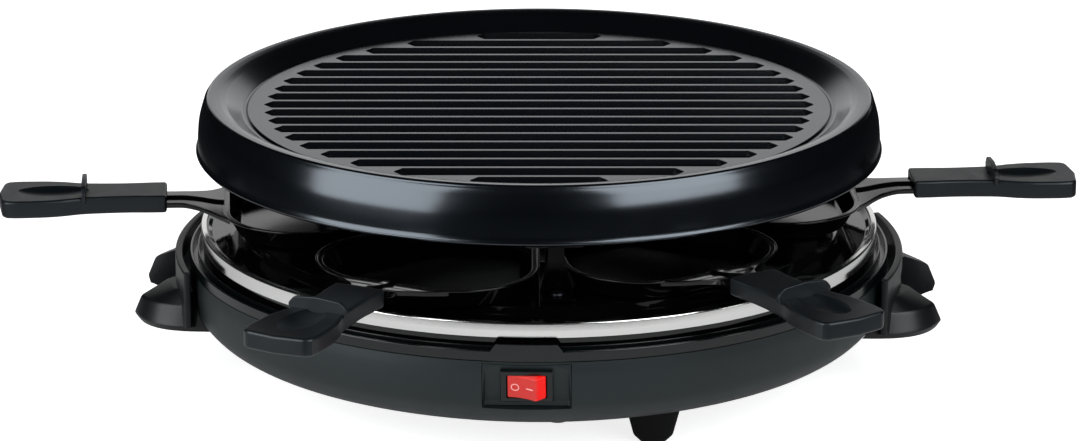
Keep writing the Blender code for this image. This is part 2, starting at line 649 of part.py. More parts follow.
def pan_arm():
    """Pressed arm with folded edges and a raised middle rib, flaring into the pan's rim."""
    reach = GRIP_START + ARM_INSERT
    stations = [(PAN_OUTER_END - PAN_FLANGE / 2, ARM_ROOT_WIDTH, PAN_RIM_Z),
                (PAN_OUTER_END + PAN_FLANGE * 2, (ARM_ROOT_WIDTH + ARM_WIDTH) / 2, PAN_RIM_Z + ARM_SHEET / 2),
                (GRIP_START - PAN_FLANGE * 3, ARM_WIDTH, GRIP_CENTRE_Z),
                (reach, ARM_WIDTH, GRIP_CENTRE_Z)]
    return lofted([arm_section(*station) for station in stations])


def arm_section(x, width, top):
    half = width / 2
    rib = ARM_RIB_WIDTH / 2
    crown = rib / 2
    over = [(-half, top - ARM_FOLD), (-half, top), (-rib, top), (-crown, top + ARM_RIB_RISE),
            (crown, top + ARM_RIB_RISE), (rib, top), (half, top), (half, top - ARM_FOLD)]
    edge = half - ARM_SHEET
    under = [(edge, top - ARM_FOLD), (edge, top - ARM_SHEET), (-edge, top - ARM_SHEET),
             (-edge, top - ARM_FOLD)]
    return [(x, y, z) for y, z in over + under]


def grip_outline():
    """Half-widths along the grip, mirrored, with a bowed and rounded outer end."""
    sides = [(GRIP_START + GRIP_LENGTH * share, width / 2)
             for share, width in zip(GRIP_WIDTH_SHARES, GRIP_WIDTHS)]
    tip = GRIP_START + GRIP_LENGTH
    half = GRIP_WIDTHS[-1] / 2
    end = [(tip - GRIP_END_BOW, half - GRIP_END_CORNER / 3), (tip - GRIP_END_BOW / 3, half - GRIP_END_CORNER),
           (tip, 0.0)]
    upper = sides + end
    lower = [(x, -y) for x, y in reversed(upper[:-1])]
    return upper + lower


def grip_body():
    low = GRIP_CENTRE_Z - GRIP_THICKNESS / 2
    high = low + GRIP_THICKNESS
    body = prism(grip_outline()[::-1], low, high)
    return bevelled(body, GRIP_EDGE, lambda edge: is_rim_at(edge, low) or is_rim_at(edge, high))


def grip_fin():
    high = GRIP_CENTRE_Z + GRIP_THICKNESS / 2
    shoulder = FIN_RISE / 2
    half = FIN_WIDTH / 2
    outline = [(-half + shoulder / 2, -shoulder), (half - shoulder / 2, -shoulder), (half, shoulder / 2),
               (half - shoulder, FIN_RISE - shoulder / 3), (0.0, FIN_RISE),
               (shoulder - half, FIN_RISE - shoulder / 3), (-half, shoulder / 2)]
    upright = Matrix(((0, 0, 1, GRIP_START + FIN_PLACE), (1, 0, 0, 0), (0, 1, 0, high), (0, 0, 0, 1)))
    return moved(prism(outline, -FIN_THICKNESS / 2, FIN_THICKNESS / 2), upright)


def grip_scoop():
    """Thumb recess: a rounded tool that dips towards the fin."""
    half = SCOOP_WIDTH / 2
    tail = [(SCOOP_LENGTH * along, half * across) for along, across in SCOOP_OUTLINE_SHARES]
    outline = tail + [(x, -y) for x, y in reversed(tail[1:])]
    tool = prism(outline[::-1], 0.0, FIN_RISE)
    dip = Matrix.Rotation(-math.atan2(SCOOP_DEPTH, SCOOP_LENGTH * SCOOP_SLOPE_SHARE), 4, "Y")
    start_x = GRIP_START + FIN_PLACE + FIN_THICKNESS / 2
    start_z = GRIP_CENTRE_Z + GRIP_THICKNESS / 2 - SCOOP_DEPTH
    return moved(tool, Matrix.Translation((start_x, 0.0, start_z)) @ dip)


def grip_socket():
    """Pocket that takes the arm, a gap wider all round."""
    width = ARM_WIDTH + 2 * GAP
    low = -ARM_FOLD - GAP
    high = ARM_RIB_RISE + GAP
    outline = [(GRIP_START - WALL, -width / 2), (GRIP_START + ARM_INSERT + GAP, -width / 2),
               (GRIP_START + ARM_INSERT + GAP, width / 2), (GRIP_START - WALL, width / 2)]
    return prism(outline, GRIP_CENTRE_Z + low, GRIP_CENTRE_Z + high)


def make_pans(materials):
    for number in range(1, PAN_COUNT + 1):
        frame = at_angle(pan_angle(number), PAN_PULLED_OUT.get(number, 0.0))
        middle = frame @ Vector(((PAN_INNER_END + PAN_OUTER_END) / 2, 0.0, PAN_FLOOR_Z))
        pan = finish(f"pan_{number}", moved(pan_dish(), frame), materials["pan"])
        shape_with(pan, moved(pan_arm(), frame), "UNION")
        set_origin(pan, middle)
        grip = finish(f"pan_grip_{number}", moved(grip_body(), frame), materials["grip"])
        shape_with(grip, moved(grip_scoop(), frame))
        shape_with(grip, moved(grip_fin(), frame), "UNION")
        shape_with(grip, moved(grip_socket(), frame))
        set_origin(grip, middle)


# Legs and heater
def leg_angles():
    return [LEG_FIRST_ANGLE + math.tau * index / LEG_COUNT for index in range(LEG_COUNT)]


def leg_strip():
    """Flat strip bent out at the foot and out again under the plate."""
    half = LEG_SHEET / 2
    foot_z = PLATFORM_Z + GAP + half
    inner, outer = LEG_RADIUS - half, LEG_RADIUS + half
    foot_end = LEG_RADIUS + LEG_FOOT_REACH
    top_end = LEG_RADIUS + LEG_TOP_REACH
    taper = foot_z + LEG_TAPER_HEIGHT
    pairs = [((foot_end, foot_z - half), (foot_end, foot_z + half)),
             ((inner, foot_z - half), (outer, foot_z + half)),
             ((inner, taper), (outer, taper)), ((inner, LEG_TOP_Z), (outer, LEG_TOP_Z - LEG_SHEET)),
             ((top_end, LEG_TOP_Z), (top_end, LEG_TOP_Z - LEG_SHEET))]
    rings = []
    for (first, second), width in zip(pairs, LEG_WIDTHS):
        side = width / 2
        rings.append([(first[0], -side, first[1]), (first[0], side, first[1]),
                      (second[0], side, second[1]), (second[0], -side, second[1])])
    return lofted(rings)


def make_legs(materials):
    foot_z = PLATFORM_Z + GAP
    for number, angle in enumerate(leg_angles(), start=1):
        leg = finish(f"support_leg_{number}", moved(leg_strip(), at_angle(angle)), materials["black_steel"])
        hole = rod(SCREW_SHAFT_RADIUS + GAP, foot_z - LEG_SHEET, foot_z + 2 * LEG_SHEET)
        shape_with(leg, moved(hole, at_angle(angle, LEG_SCREW_RADIUS)))


def make_leg_screws(materials):
    head_low = PLATFORM_Z + 2 * GAP + LEG_SHEET
    shaft_low = PLATFORM_Z - BOSS_HOLE_DEPTH + WALL
    for number, angle in enumerate(leg_angles(), start=1):
        shape = screw(shaft_low, head_low, head_low, head_low + SCREW_HEAD_HEIGHT)
        finish(f"leg_screw_{number}", moved(shape, at_angle(angle, LEG_SCREW_RADIUS)), materials["steel"])


def make_heater_frame(materials):
    inner = FRAME_OUTER_RADIUS - FRAME_WIDTH
    low = FRAME_TOP_Z - FRAME_SHEET
    flat = FRAME_OUTER_RADIUS * math.cos(math.pi / FRAME_STEPS)
    profile = [(flat, FRAME_TOP_Z), (flat, low), (inner, low), (inner, FRAME_TOP_Z)]
    frame = finish("heater_frame", turned(profile, FRAME_STEPS), materials["steel"])
    notches = [moved(rod(ELEMENT_TUBE + HOLE_PLAY, low - WALL, FRAME_TOP_Z + WALL), end)
               for end in element_ends()]
    shape_with(frame, merged(notches))


def tube(name, points, radius, sides_step, material):
    """A round tube along a list of points, its ends closed."""
    curve = bpy.data.curves.new(name, "CURVE")
    curve.dimensions = "3D"
    curve.bevel_depth = radius
    curve.bevel_resolution = sides_step
    curve.use_fill_caps = True
    line = curve.splines.new("POLY")
    line.points.add(len(points) - 1)
    for place, point in zip(line.points, points):
        place.co = (*point, 1.0)
    curve.materials.append(material)
    piece = bpy.data.objects.new(name, curve)
    bpy.context.scene.collection.objects.link(piece)
    return piece


def element_ends():
    """Frames on the axes of the element's two upright ends."""
    spread = math.asin(ELEMENT_END_SPREAD / ELEMENT_RADIUS)
    return [at_angle(LEG_FIRST_ANGLE + turn, ELEMENT_RADIUS) for turn in (-spread, spread)]


def make_heating_element(materials):
    """Almost a full turn of tube whose two ends drop into the terminal block."""
    frame = at_angle(LEG_FIRST_ANGLE)
    foot = BLOCK_TOP_Z - BLOCK_SOCKET_DEPTH + GAP
    spread = math.asin(ELEMENT_END_SPREAD / ELEMENT_RADIUS)
    bend = ELEMENT_BEND / ELEMENT_RADIUS
    places = [(spread, foot)]
    places += [(spread + bend * along, ELEMENT_Z - ELEMENT_BEND * down)
               for along, down in ELEMENT_BEND_SHARES]
    sweep = math.tau - 2 * (spread + bend)
    ring = [(spread + bend + sweep * index / ELEMENT_STEPS, ELEMENT_Z) for index in range(ELEMENT_STEPS + 1)]
    places += ring + [(math.tau - turn, z) for turn, z in reversed(places)]
    points = [frame @ Vector((ELEMENT_RADIUS * math.cos(turn), ELEMENT_RADIUS * math.sin(turn), z))
              for turn, z in places]
    tube("heating_element", points, ELEMENT_TUBE, 2, materials["steel"])


def make_element_clips(materials):
    inner = ELEMENT_TUBE + HOLE_PLAY + GAP
    outer = inner + CLIP_SHEET
    floor = FRAME_TOP_Z + GAP - ELEMENT_Z
    cradle = arc((0.0, 0.0), inner, 0.0, -math.pi, CLIP_STEPS)
    outline = [(-outer, 0.0), (-outer, floor), (outer, floor), (outer, 0.0)] + cradle
    upright = Matrix(((1, 0, 0, ELEMENT_RADIUS), (0, 0, -1, 0), (0, 1, 0, ELEMENT_Z), (0, 0, 0, 1)))
    for number in range(1, CLIP_COUNT + 1):
        angle = LEG_FIRST_ANGLE + math.tau * number / (CLIP_COUNT + 1)
        clip = moved(prism(outline, -CLIP_WIDTH / 2, CLIP_WIDTH / 2), at_angle(angle) @ upright)
        finish(f"element_clip_{number}", clip, materials["steel"])


def make_terminal_block(materials):
    low = BLOCK_TOP_Z - BLOCK_SIZE[2]
    body = bevelled(block(BLOCK_SIZE, low), GRIP_EDGE, lambda edge: not is_rim_at(edge, low))
    place = at_angle(LEG_FIRST_ANGLE, ELEMENT_RADIUS)
    ceramic = finish("terminal_block", moved(body, place), materials["ceramic"])
    sockets = [moved(rod(ELEMENT_TUBE + HOLE_PLAY, BLOCK_TOP_Z - BLOCK_SOCKET_DEPTH, BLOCK_TOP_Z + WALL), end)
               for end in element_ends()]
    shape_with(ceramic, merged(sockets))


def make_conduit(materials):
    high = BLOCK_TOP_Z - BLOCK_SIZE[2] - GAP
    profile = [(CONDUIT_RADIUS, high), (CONDUIT_RADIUS, CONDUIT_FOOT_Z),
               (CONDUIT_BORE_RADIUS, CONDUIT_FOOT_Z), (CONDUIT_BORE_RADIUS, high)]
    place = at_angle(LEG_FIRST_ANGLE, ELEMENT_RADIUS)
    finish("wire_conduit", moved(turned(profile, HOLE_STEPS), place), materials["black_steel"])


# Grill plate
def plate_profile():
    """Right half section: floor edge, gutter, lip, bulging skirt and hollow underside."""
    floor_z = PLATE_TOP_Z - FLOOR_DROP
    gutter_z = PLATE_TOP_Z - GUTTER_DROP
    skirt = [(PLATE_RADIUS * (1 - drop), PLATE_SKIRT_Z + PLATE_HEIGHT * share)
             for drop, share in zip(SKIRT_DROP_SHARES, SKIRT_HEIGHT_SHARES)]
    inside = [(radius - PLATE_WALL, z) for radius, z in reversed(skirt) if z < gutter_z]
    floor_edge = GUTTER_INNER_RADIUS - WALL
    over = [(FLOOR_EDGE_RADIUS, floor_z), (GUTTER_INNER_RADIUS, gutter_z), (GUTTER_OUTER_RADIUS, gutter_z),
            (LIP_INNER_RADIUS, PLATE_TOP_Z - WALL / 5), (LIP_OUTER_RADIUS, PLATE_TOP_Z),
            (LIP_OUTER_RADIUS + WALL / 4, PLATE_TOP_Z - WALL / 2)]
    under = [(LIP_INNER_RADIUS, PLATE_TOP_Z - 2 * WALL), (GUTTER_OUTER_RADIUS - WALL / 4, gutter_z - WALL),
             (floor_edge, gutter_z - WALL), (floor_edge - WALL / 2, PLATE_UNDERSIDE_Z)]
    return over + skirt + inside + under


def ridge(offset):
    """One straight ridge with sloping sides and hipped ends."""
    floor_z = PLATE_TOP_Z - FLOOR_DROP
    half = math.sqrt(RIDGE_TIP_RADIUS ** 2 - offset ** 2)
    foot = rectangle(2 * half, RIDGE_FOOT_WIDTH)
    crown = rectangle(2 * (half - RIDGE_HIP), RIDGE_TOP_WIDTH)
    levels = [(foot, floor_z - WALL / 3), (foot, floor_z + RIDGE_HEIGHT / 10),
              (crown, floor_z + RIDGE_HEIGHT)]
    return moved(lofted([[(x, y, z) for x, y in outline] for outline, z in levels]),
                 Matrix.Translation((0.0, offset, 0.0)))


def make_grill_plate(materials):
    plate = finish("grill_plate", turned(plate_profile(), ROUND_STEPS, closed=False), materials["plate"])
    first = -RIDGE_PITCH * (RIDGE_COUNT - 1) / 2
    ridges = merged([ridge(first + RIDGE_PITCH * index) for index in range(RIDGE_COUNT)])
    shape_with(plate, moved(ridges, at_angle(PLATE_TURN)), "UNION")
    set_origin(plate, (0.0, 0.0, PLATE_UNDERSIDE_Z))


# Switch
def switch_frame():
    """Frame on the switch panel's face: X right, Y up the panel, Z straight out of it."""
    lean = Matrix.Rotation(math.pi / 2 + SWITCH_TILT, 4, "X")
    return Matrix.Translation((0.0, -SWITCH_FACE_RADIUS, SWITCH_Z)) @ lean


def make_switch_panel(materials):
    plate = moved(block(PANEL_SIZE, -PANEL_SIZE[2]), switch_frame())
    panel = finish("switch_panel", plate, materials["trim"])
    opening = (SWITCH_BOX_SIZE[0] + 2 * GAP, SWITCH_BOX_SIZE[1] + 2 * GAP, 4 * PANEL_SIZE[2])
    shape_with(panel, moved(block(opening, -2 * PANEL_SIZE[2]), switch_frame()))


def make_switch_body(materials):
    frame = switch_frame()
    box = (*SWITCH_BOX_SIZE[:2], SWITCH_BOX_SIZE[2] + GAP + BEZEL_SIZE[2] / 2)
    body = finish("switch_body", moved(block(box, -SWITCH_BOX_SIZE[2]), frame), materials["switch"])
    bezel_high = GAP + BEZEL_SIZE[2]
    bezel = bevelled(block(BEZEL_SIZE, GAP), BEZEL_SIZE[2] / 3, lambda edge: is_rim_at(edge, bezel_high))
    shape_with(body, moved(bezel, frame), "UNION")
    pocket = (*SWITCH_POCKET_SIZE[:2], SWITCH_POCKET_SIZE[2] + 2 * BEZEL_SIZE[2])
    shape_with(body, moved(block(pocket, -SWITCH_POCKET_SIZE[2]), frame))


def make_rocker(materials):
    """Rocker in its off position, the left end pressed in, turning about an upright axis."""
    end = (ROCKER_HALF_LENGTH, ROCKER_END_RISE)
    shoulder = (ROCKER_SHOULDER[0], -ROCKER_SHOULDER[1])
    keel = (ROCKER_KEEL[0], -ROCKER_KEEL[1])
    right = [(0.0, ROCKER_MID_RISE), end, shoulder, keel]
    outline = right + [(-x, z) for x, z in reversed(right[1:])]
    flat = prism(outline[::-1], -ROCKER_WIDTH / 2, ROCKER_WIDTH / 2)
    stand = Matrix(((1, 0, 0, 0), (0, 0, -1, 0), (0, 1, 0, 0), (0, 0, 0, 1)))
    pressed = Matrix.Rotation(-ROCKER_THROW / 2, 4, "Y")
    hinge = switch_frame() @ Matrix.Translation((0.0, 0.0, BEZEL_SIZE[2]))
    rocker = finish("rocker_button", moved(flat, hinge @ pressed @ stand), materials["red"])
    set_origin(rocker, hinge.translation)


def make_switch_lamp(materials):
    lie = Matrix.Rotation(math.pi / 2, 4, "Y")
    lamp = moved(rod(LAMP_RADIUS, -LAMP_LENGTH / 2, LAMP_LENGTH / 2, HOLE_STEPS), lie)
    depth = SWITCH_POCKET_SIZE[2] - LAMP_RADIUS - GAP
    finish("switch_lamp", moved(lamp, switch_frame() @ Matrix.Translation((0, 0, -depth))), materials["lamp"])


def make_switch_terminals(materials):
    low = -SWITCH_BOX_SIZE[2] - GAP - TAB_SIZE[2]
    for number, step in enumerate((-1, 0, 1), start=1):
        place = switch_frame() @ Matrix.Translation((TAB_SPACING * step, 0, 0))
        finish(f"switch_terminal_{number}", moved(block(TAB_SIZE, low), place), materials["brass"])


# Cord inlet and wiring inside the base
def gland_frame():
    """Frame on the bowl's rear: Z points straight out of the back."""
    return Matrix.Translation((0.0, BASE_RADIUS - WALL, GLAND_Z)) @ Matrix.Rotation(-math.pi / 2, 4, "X")


def make_cord_gland(materials):
    seat = WALL + GAP
    profile = [(GLAND_FLANGE_RADIUS, seat + GLAND_FLANGE), (GLAND_FLANGE_RADIUS, seat),
               (GLAND_NECK_RADIUS, seat), (GLAND_NECK_RADIUS, seat - GLAND_NECK),
               (GLAND_BORE_RADIUS, seat - GLAND_NECK), (GLAND_BORE_RADIUS, seat + GLAND_FLANGE)]
    finish("cord_gland", moved(turned(profile, SMALL_STEPS), gland_frame()), materials["rubber"])


def make_terminal_strip(materials):
    low = FOOT_HEIGHT + WALL + GAP
    body = bevelled(block(STRIP_SIZE, low), GRIP_EDGE, lambda edge: not is_rim_at(edge, low))
    finish("terminal_strip", moved(body, Matrix.Translation((0.0, STRIP_Y, 0.0))), materials["ceramic"])


def smooth_route(stops):
    """Points along a Catmull-Rom curve through the stops."""
    stops = [Vector(stop) for stop in stops]
    padded = [2 * stops[0] - stops[1]] + stops + [2 * stops[-1] - stops[-2]]
    points = []
    spans = len(stops) - 1
    for index in range(WIRE_STEPS):
        place = spans * index / (WIRE_STEPS - 1)
        span = min(int(place), spans - 1)
        share = place - span
        before, start, end, after = padded[span:span + 4]
        points.append(0.5 * (2 * start + (end - before) * share
                             + (2 * before - 5 * start + 4 * end - after) * share ** 2
                             + (3 * start - before - 3 * end + after) * share ** 3))
    return points


def make_wires(materials):
    """Live wire to the switch, switched wire and neutral wire up to the conduit."""
    conduit = at_angle(LEG_FIRST_ANGLE, ELEMENT_RADIUS) @ Vector((0.0, 0.0, CONDUIT_FOOT_Z - 2 * GAP))
    back = switch_frame() @ Vector((0.0, 0.0, -SWITCH_BOX_SIZE[2] - TAB_SIZE[2] - WIRE_RADIUS - GAP))
    strip_face = STRIP_Y - STRIP_SIZE[1] / 2 - GAP
    low = FOOT_HEIGHT + WALL + STRIP_SIZE[2] / 2
    run = BASE_RADIUS * WIRE_RUN_SHARE
    side = Vector((WIRE_RADIUS + GAP, 0.0, 0.0))
    left_tab = back - Vector((TAB_SPACING, 0.0, 0.0))
    inwards = Vector((0.0, FOOT_HEIGHT, 0.0))
    routes = {
        "wire_live": [(-STRIP_SIZE[0] / 4, strip_face, low), (-run, run, low), (-run, -run, low),
                      left_tab + inwards, left_tab],
        "wire_neutral": [(STRIP_SIZE[0] / 4, strip_face, low), (run, run, low), (run, -run, low),
                         conduit + side + Vector((0, run, -run)) / 2, conduit + side],
        "wire_switched": [back, back + inwards, conduit - side - Vector((0, 0, run)) / 2, conduit - side],
    }
    for name, stops in routes.items():
        tube(name, smooth_route(stops), WIRE_RADIUS, 1, materials["wire"])


def main():
    clear_scene()
    materials = make_materials()
    for make in (make_base_housing, make_bottom_cover, make_cover_screws, make_feet, make_trim_collar,
                 make_side_handles, make_reflector_tray, make_chrome_ring, make_pans, make_legs,
                 make_leg_screws, make_heater_frame, make_heating_element, make_element_clips,
                 make_terminal_block, make_conduit, make_grill_plate, make_switch_panel, make_switch_body,
                 make_rocker, make_switch_lamp, make_switch_terminals, make_cord_gland,
                 make_terminal_strip, make_wires):
        make(materials)


main()
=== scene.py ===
"""Looks of a round table-top raclette grill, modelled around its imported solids.

Metres, +Z up, switch towards -Y. Every piece ends at the origin with its place in its mesh.
"""

from math import asin, ceil, copysign, cos, pi, radians, sin, tan, tau

import bmesh
import bpy
from bpy.props import FloatProperty, FloatVectorProperty, PointerProperty
from mathutils import Matrix, Vector


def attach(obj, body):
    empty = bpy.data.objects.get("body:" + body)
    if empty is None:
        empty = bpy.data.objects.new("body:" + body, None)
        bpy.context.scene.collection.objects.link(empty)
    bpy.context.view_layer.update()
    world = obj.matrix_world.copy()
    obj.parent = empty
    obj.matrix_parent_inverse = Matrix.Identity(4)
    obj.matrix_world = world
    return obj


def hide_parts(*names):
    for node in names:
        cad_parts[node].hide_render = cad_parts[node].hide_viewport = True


bl_info = {
    "name": "Raclette Grill Looks",
    "version": (1, 0, 0),
    "blender": (4, 5, 0),
    "location": "3D Viewport > Sidebar > Grill",
    "description": "Models and finishes the visible pieces of a table-top raclette grill",
    "category": "Object",
}

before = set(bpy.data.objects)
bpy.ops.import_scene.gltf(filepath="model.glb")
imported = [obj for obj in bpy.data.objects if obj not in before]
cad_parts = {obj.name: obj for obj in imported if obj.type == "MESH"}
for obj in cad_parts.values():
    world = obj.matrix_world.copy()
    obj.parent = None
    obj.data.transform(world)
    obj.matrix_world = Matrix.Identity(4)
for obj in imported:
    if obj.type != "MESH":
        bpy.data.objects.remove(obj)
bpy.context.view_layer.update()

# Clearances and finish
GAP = 0.0003
HOLE_PLAY = 0.0006
MERGE = 0.00002
FINE_STEPS = 160
SMALL_STEPS = 32

# Sizes shared by several pieces, as in the solids
FOOT_HEIGHT = 0.0125
RIM_Z = 0.0557
WALL = 0.0026
SHEET = 0.001
STACK_TURN = radians(5.7)
FOOT_PLACE = 0.76
LEDGE_Z = 0.057
TRAY_RIM_Z = 0.0718
PLATFORM_Z = 0.0731
PAN_FLOOR_Z = 0.0734
PAN_RIM_Z = 0.084
SKIRT_INSET = 0.007
LEG_RING = 0.1213
LEG_SCREW_RING = 0.1301
LEG_TOP_Z = 0.1265
PLATE_TOP_Z = 0.1372
PLATE_FOOT_Z = 0.1096


# Settings
def length(description, default):
    return FloatProperty(name=description, default=default, unit="LENGTH", subtype="DISTANCE", precision=4)


def colour(description, default):
    return FloatVectorProperty(name=description, default=default, min=0, max=1, subtype="COLOR")


class PlateSettings(bpy.types.PropertyGroup):
    radius: length("Outer radius of the plate", 0.1672)
    groove_depth: length("Depth of the grooves", 0.003)
    groove_pitch: length("Distance from groove to groove", 0.0144)
    coating: colour("Colour of the plate's coating", (0.0012, 0.0017, 0.0024))
    sheen: FloatProperty(name="Roughness of the coating", default=0.18, min=0, max=1)


class PanSettings(bpy.types.PropertyGroup):
    reach: length("Distance of the pans' outer edge", 0.1545)
    grip_length: length("Length of a grip", 0.082)
    coating: colour("Colour of the pans' coating", (0.0012, 0.0012, 0.0013))
    grip: colour("Colour of the grips", (0.0024, 0.0036, 0.0048))


class BaseSettings(bpy.types.PropertyGroup):
    radius: length("Outer radius of the base", 0.1712)
    housing: colour("Colour of the housing", (0.0028, 0.0048, 0.0054))
    handle: colour("Colour of the handles", (0.0022, 0.003, 0.0036))
    trim: colour("Colour of the collar and the switch frame", (0.002, 0.003, 0.0032))
    enamel: colour("Colour of the tray's enamel", (0.0009, 0.0009, 0.001))


class SwitchSettings(bpy.types.PropertyGroup):
    tilt: FloatProperty(name="Lean of the switch panel", default=radians(19), subtype="ANGLE")
    red: colour("Colour of the rocker", (0.68, 0.05, 0.044))
    mark: colour("Colour of the rocker's marks", (0.9, 0.42, 0.4))


class StageSettings(bpy.types.PropertyGroup):
    floor: colour("Colour of the floor", (0.8, 0.8, 0.8))
    left_light: FloatProperty(name="Power of the left softbox", default=21, min=0, unit="POWER")
    right_light: FloatProperty(name="Power of the right softbox", default=17, min=0, unit="POWER")
    distance: length("Distance of the camera", 2.3)


# Selection and edit mode
def deselect():
    bpy.ops.object.select_all(action="DESELECT")


def only(piece):
    deselect()
    piece.select_set(True)
    bpy.context.view_layer.objects.active = piece


def edit(piece):
    only(piece)
    bpy.ops.object.mode_set(mode="EDIT")
    bpy.ops.mesh.select_all(action="SELECT")


def leave_edit():
    bpy.ops.object.mode_set(mode="OBJECT")


def named(name, piece=None):
    """A piece, or else the primitive that was just added, under its own name."""
    piece = piece or bpy.context.object
    piece.name = piece.data.name = name
    return piece


def close_up(piece):
    """Merge doubles and turn every face outwards."""
    edit(piece)
    bpy.ops.mesh.remove_doubles(threshold=MERGE)
    bpy.ops.mesh.normals_make_consistent(inside=False)
    leave_edit()
    return piece


def at(x=0.0, y=0.0, z=0.0):
    return Matrix.Translation((x, y, z))


def about(axis, angle):
    return Matrix.Rotation(angle, 4, axis)


def at_angle(angle, radius=0.0, z=0.0):
    """A frame turned about Z whose +X points outwards, moved out along it."""
    return about("Z", angle) @ at(radius, 0, z)


def placed(piece, matrix=None):
    """Move a piece and put its new place into its mesh."""
    only(piece)
    if matrix:
        piece.matrix_world = matrix @ piece.matrix_world
    bpy.ops.object.transform_apply(location=True, rotation=True, scale=True)
    return piece


def modified(piece, kind, **values):
    """Add a modifier and apply it."""
    only(piece)
    modifier = piece.modifiers.new(kind.title(), kind)
    for name, value in values.items():
        setattr(modifier, name, value)
    bpy.ops.object.modifier_apply(modifier=modifier.name)
    return piece


def shaped(target, tool, operation="DIFFERENCE"):
    """Cut the target with a tool, or join them, and delete the tool."""
    modified(target, "BOOLEAN", object=tool, operation=operation, solver="EXACT")
    bpy.data.objects.remove(tool)
    return target


def joined(pieces):
    deselect()
    for piece in pieces:
        piece.select_set(True)
    bpy.context.view_layer.objects.active = pieces[0]
    bpy.ops.object.join()
    return pieces[0]


def copied(piece, name, matrix):
    """A copy with its own mesh, moved to its place."""
    only(piece)
    bpy.ops.object.duplicate(linked=False)
    return placed(named(name), matrix)


def softened(piece, width, segments=2, angle=35):
    return modified(piece, "BEVEL", width=width, segments=segments, limit_method="ANGLE",
                    angle_limit=radians(angle), use_clamp_overlap=True, harden_normals=False)


# Primitives and their shaping
def block(name, size, centre=(0, 0, 0), round_edges=0.0):
    deselect()
    bpy.ops.mesh.primitive_cube_add(size=1, location=centre)
    piece = named(name)
    piece.scale = size
    placed(piece)
    return softened(piece, round_edges, 3) if round_edges else piece


def rod(name, radius, low, high, steps=SMALL_STEPS):
    deselect()
    middle = (0, 0, (low + high) / 2)
    bpy.ops.mesh.primitive_cylinder_add(vertices=steps, radius=radius, depth=high - low, location=middle)
    return placed(named(name))


def bore(radius, low, high, angle, ring):
    """Upright rod at an angle and a distance from the middle."""
    return placed(rod("bore", radius, low, high), at_angle(angle, ring))


def rounded(corners, finest=None):
    """A line of (x, y) or (x, y, radius) corners with each given radius drawn as an arc."""
    points = []
    for index, corner in enumerate(corners):
        here = Vector(corner[:2])
        if len(corner) < 3 or not 0 < index < len(corners) - 1:
            points.append(tuple(here))
            continue
        arriving = (here - Vector(corners[index - 1][:2])).normalized()
        leaving = (Vector(corners[index + 1][:2]) - here).normalized()
        turn = arriving.angle_signed(leaving)
        start = here - arriving * (corner[2] * tan(abs(turn) / 2))
        side = Vector((arriving.y, -arriving.x)) * (1 if turn > 0 else -1)
        middle = start + side * corner[2]
        spoke = start - middle
        step_angle = finest or (18 if corner[2] < 0.0015 else 10 if corner[2] < 0.01 else 4)
        segments = max(2, ceil(abs(turn) / radians(step_angle)))
        for step in range(segments + 1):
            swing = -turn * step / segments
            points.append((middle.x + spoke.x * cos(swing) - spoke.y * sin(swing),
                           middle.y + spoke.x * sin(swing) + spoke.y * cos(swing)))
    return points


def smooth_line(points, spans=4):
    """Points of a Catmull-Rom curve through tuples of any length."""
    stops = [Vector(point) for point in points]
    padded = [2 * stops[0] - stops[1]] + stops + [2 * stops[-1] - stops[-2]]
    line = []
    for before, start, end, after in zip(padded, padded[1:], padded[2:], padded[3:]):
        for step in range(spans):
            part = step / spans
            line.append(0.5 * (2 * start + (end - before) * part
                               + (2 * before - 5 * start + 4 * end - after) * part ** 2
                               + (3 * start - before - 3 * end + after) * part ** 3))
    return [tuple(point) for point in line + [stops[-1]]]


def turned(name, profile, steps=FINE_STEPS):
    """Draw a profile of (radius, z) points by extruding one corner, then spin it about Z."""
    deselect()
    bpy.ops.mesh.primitive_plane_add(size=WALL, enter_editmode=True)
    piece = named(name)
    bpy.ops.mesh.merge(type="CENTER")
    bpy.ops.transform.translate(value=(profile[0][0], 0, profile[0][1]))
    for before, after in zip(profile, profile[1:]):
        step = (after[0] - before[0], 0, after[1] - before[1])
        bpy.ops.mesh.extrude_vertices_move(TRANSFORM_OT_translate={"value": step})
    bpy.ops.mesh.select_all(action="SELECT")
    bpy.ops.mesh.spin(steps=steps, angle=tau, center=(0, 0, 0), axis=(0, 0, 1))
    leave_edit()
    close_up(piece)
    edit(piece)
    bpy.ops.mesh.fill_holes(sides=0)
    leave_edit()
    return close_up(piece)


def lofted(name, rings):
    """Extrude a filled circle from ring to ring, setting its corners to each ring's points."""
    deselect()
    bpy.ops.mesh.primitive_circle_add(vertices=len(rings[0]), fill_type="NGON", enter_editmode=True)
    piece = named(name)
    shape = bmesh.from_edit_mesh(piece.data)
    shape.faces.ensure_lookup_table()
    for corner, point in zip(shape.faces[0].verts, rings[0]):
        corner.co = point
    bmesh.update_edit_mesh(piece.data)
    for before, after in zip(rings, rings[1:]):
        bpy.ops.mesh.extrude_region_move()
        shape = bmesh.from_edit_mesh(piece.data)
        top = next(face for face in shape.faces if face.select)
        start = min(range(len(before)), key=lambda index: (top.verts[index].co - Vector(before[0])).length)
        way = 1
        if (top.verts[(start + 1) % len(before)].co - Vector(before[1])).length > MERGE:
            way = -1
        for index, point in enumerate(after):
            top.verts[(start + way * index) % len(before)].co = point
        bmesh.update_edit_mesh(piece.data)
    leave_edit()
    return close_up(piece)


def prism(name, outline, low, high):
    return lofted(name, [[(x, y, z) for x, y in outline] for z in (low, high)])


def arc(radius, start, end, steps):
    turns = [start + (end - start) * index / steps for index in range(steps + 1)]
    return [(radius * cos(turn), radius * sin(turn)) for turn in turns]


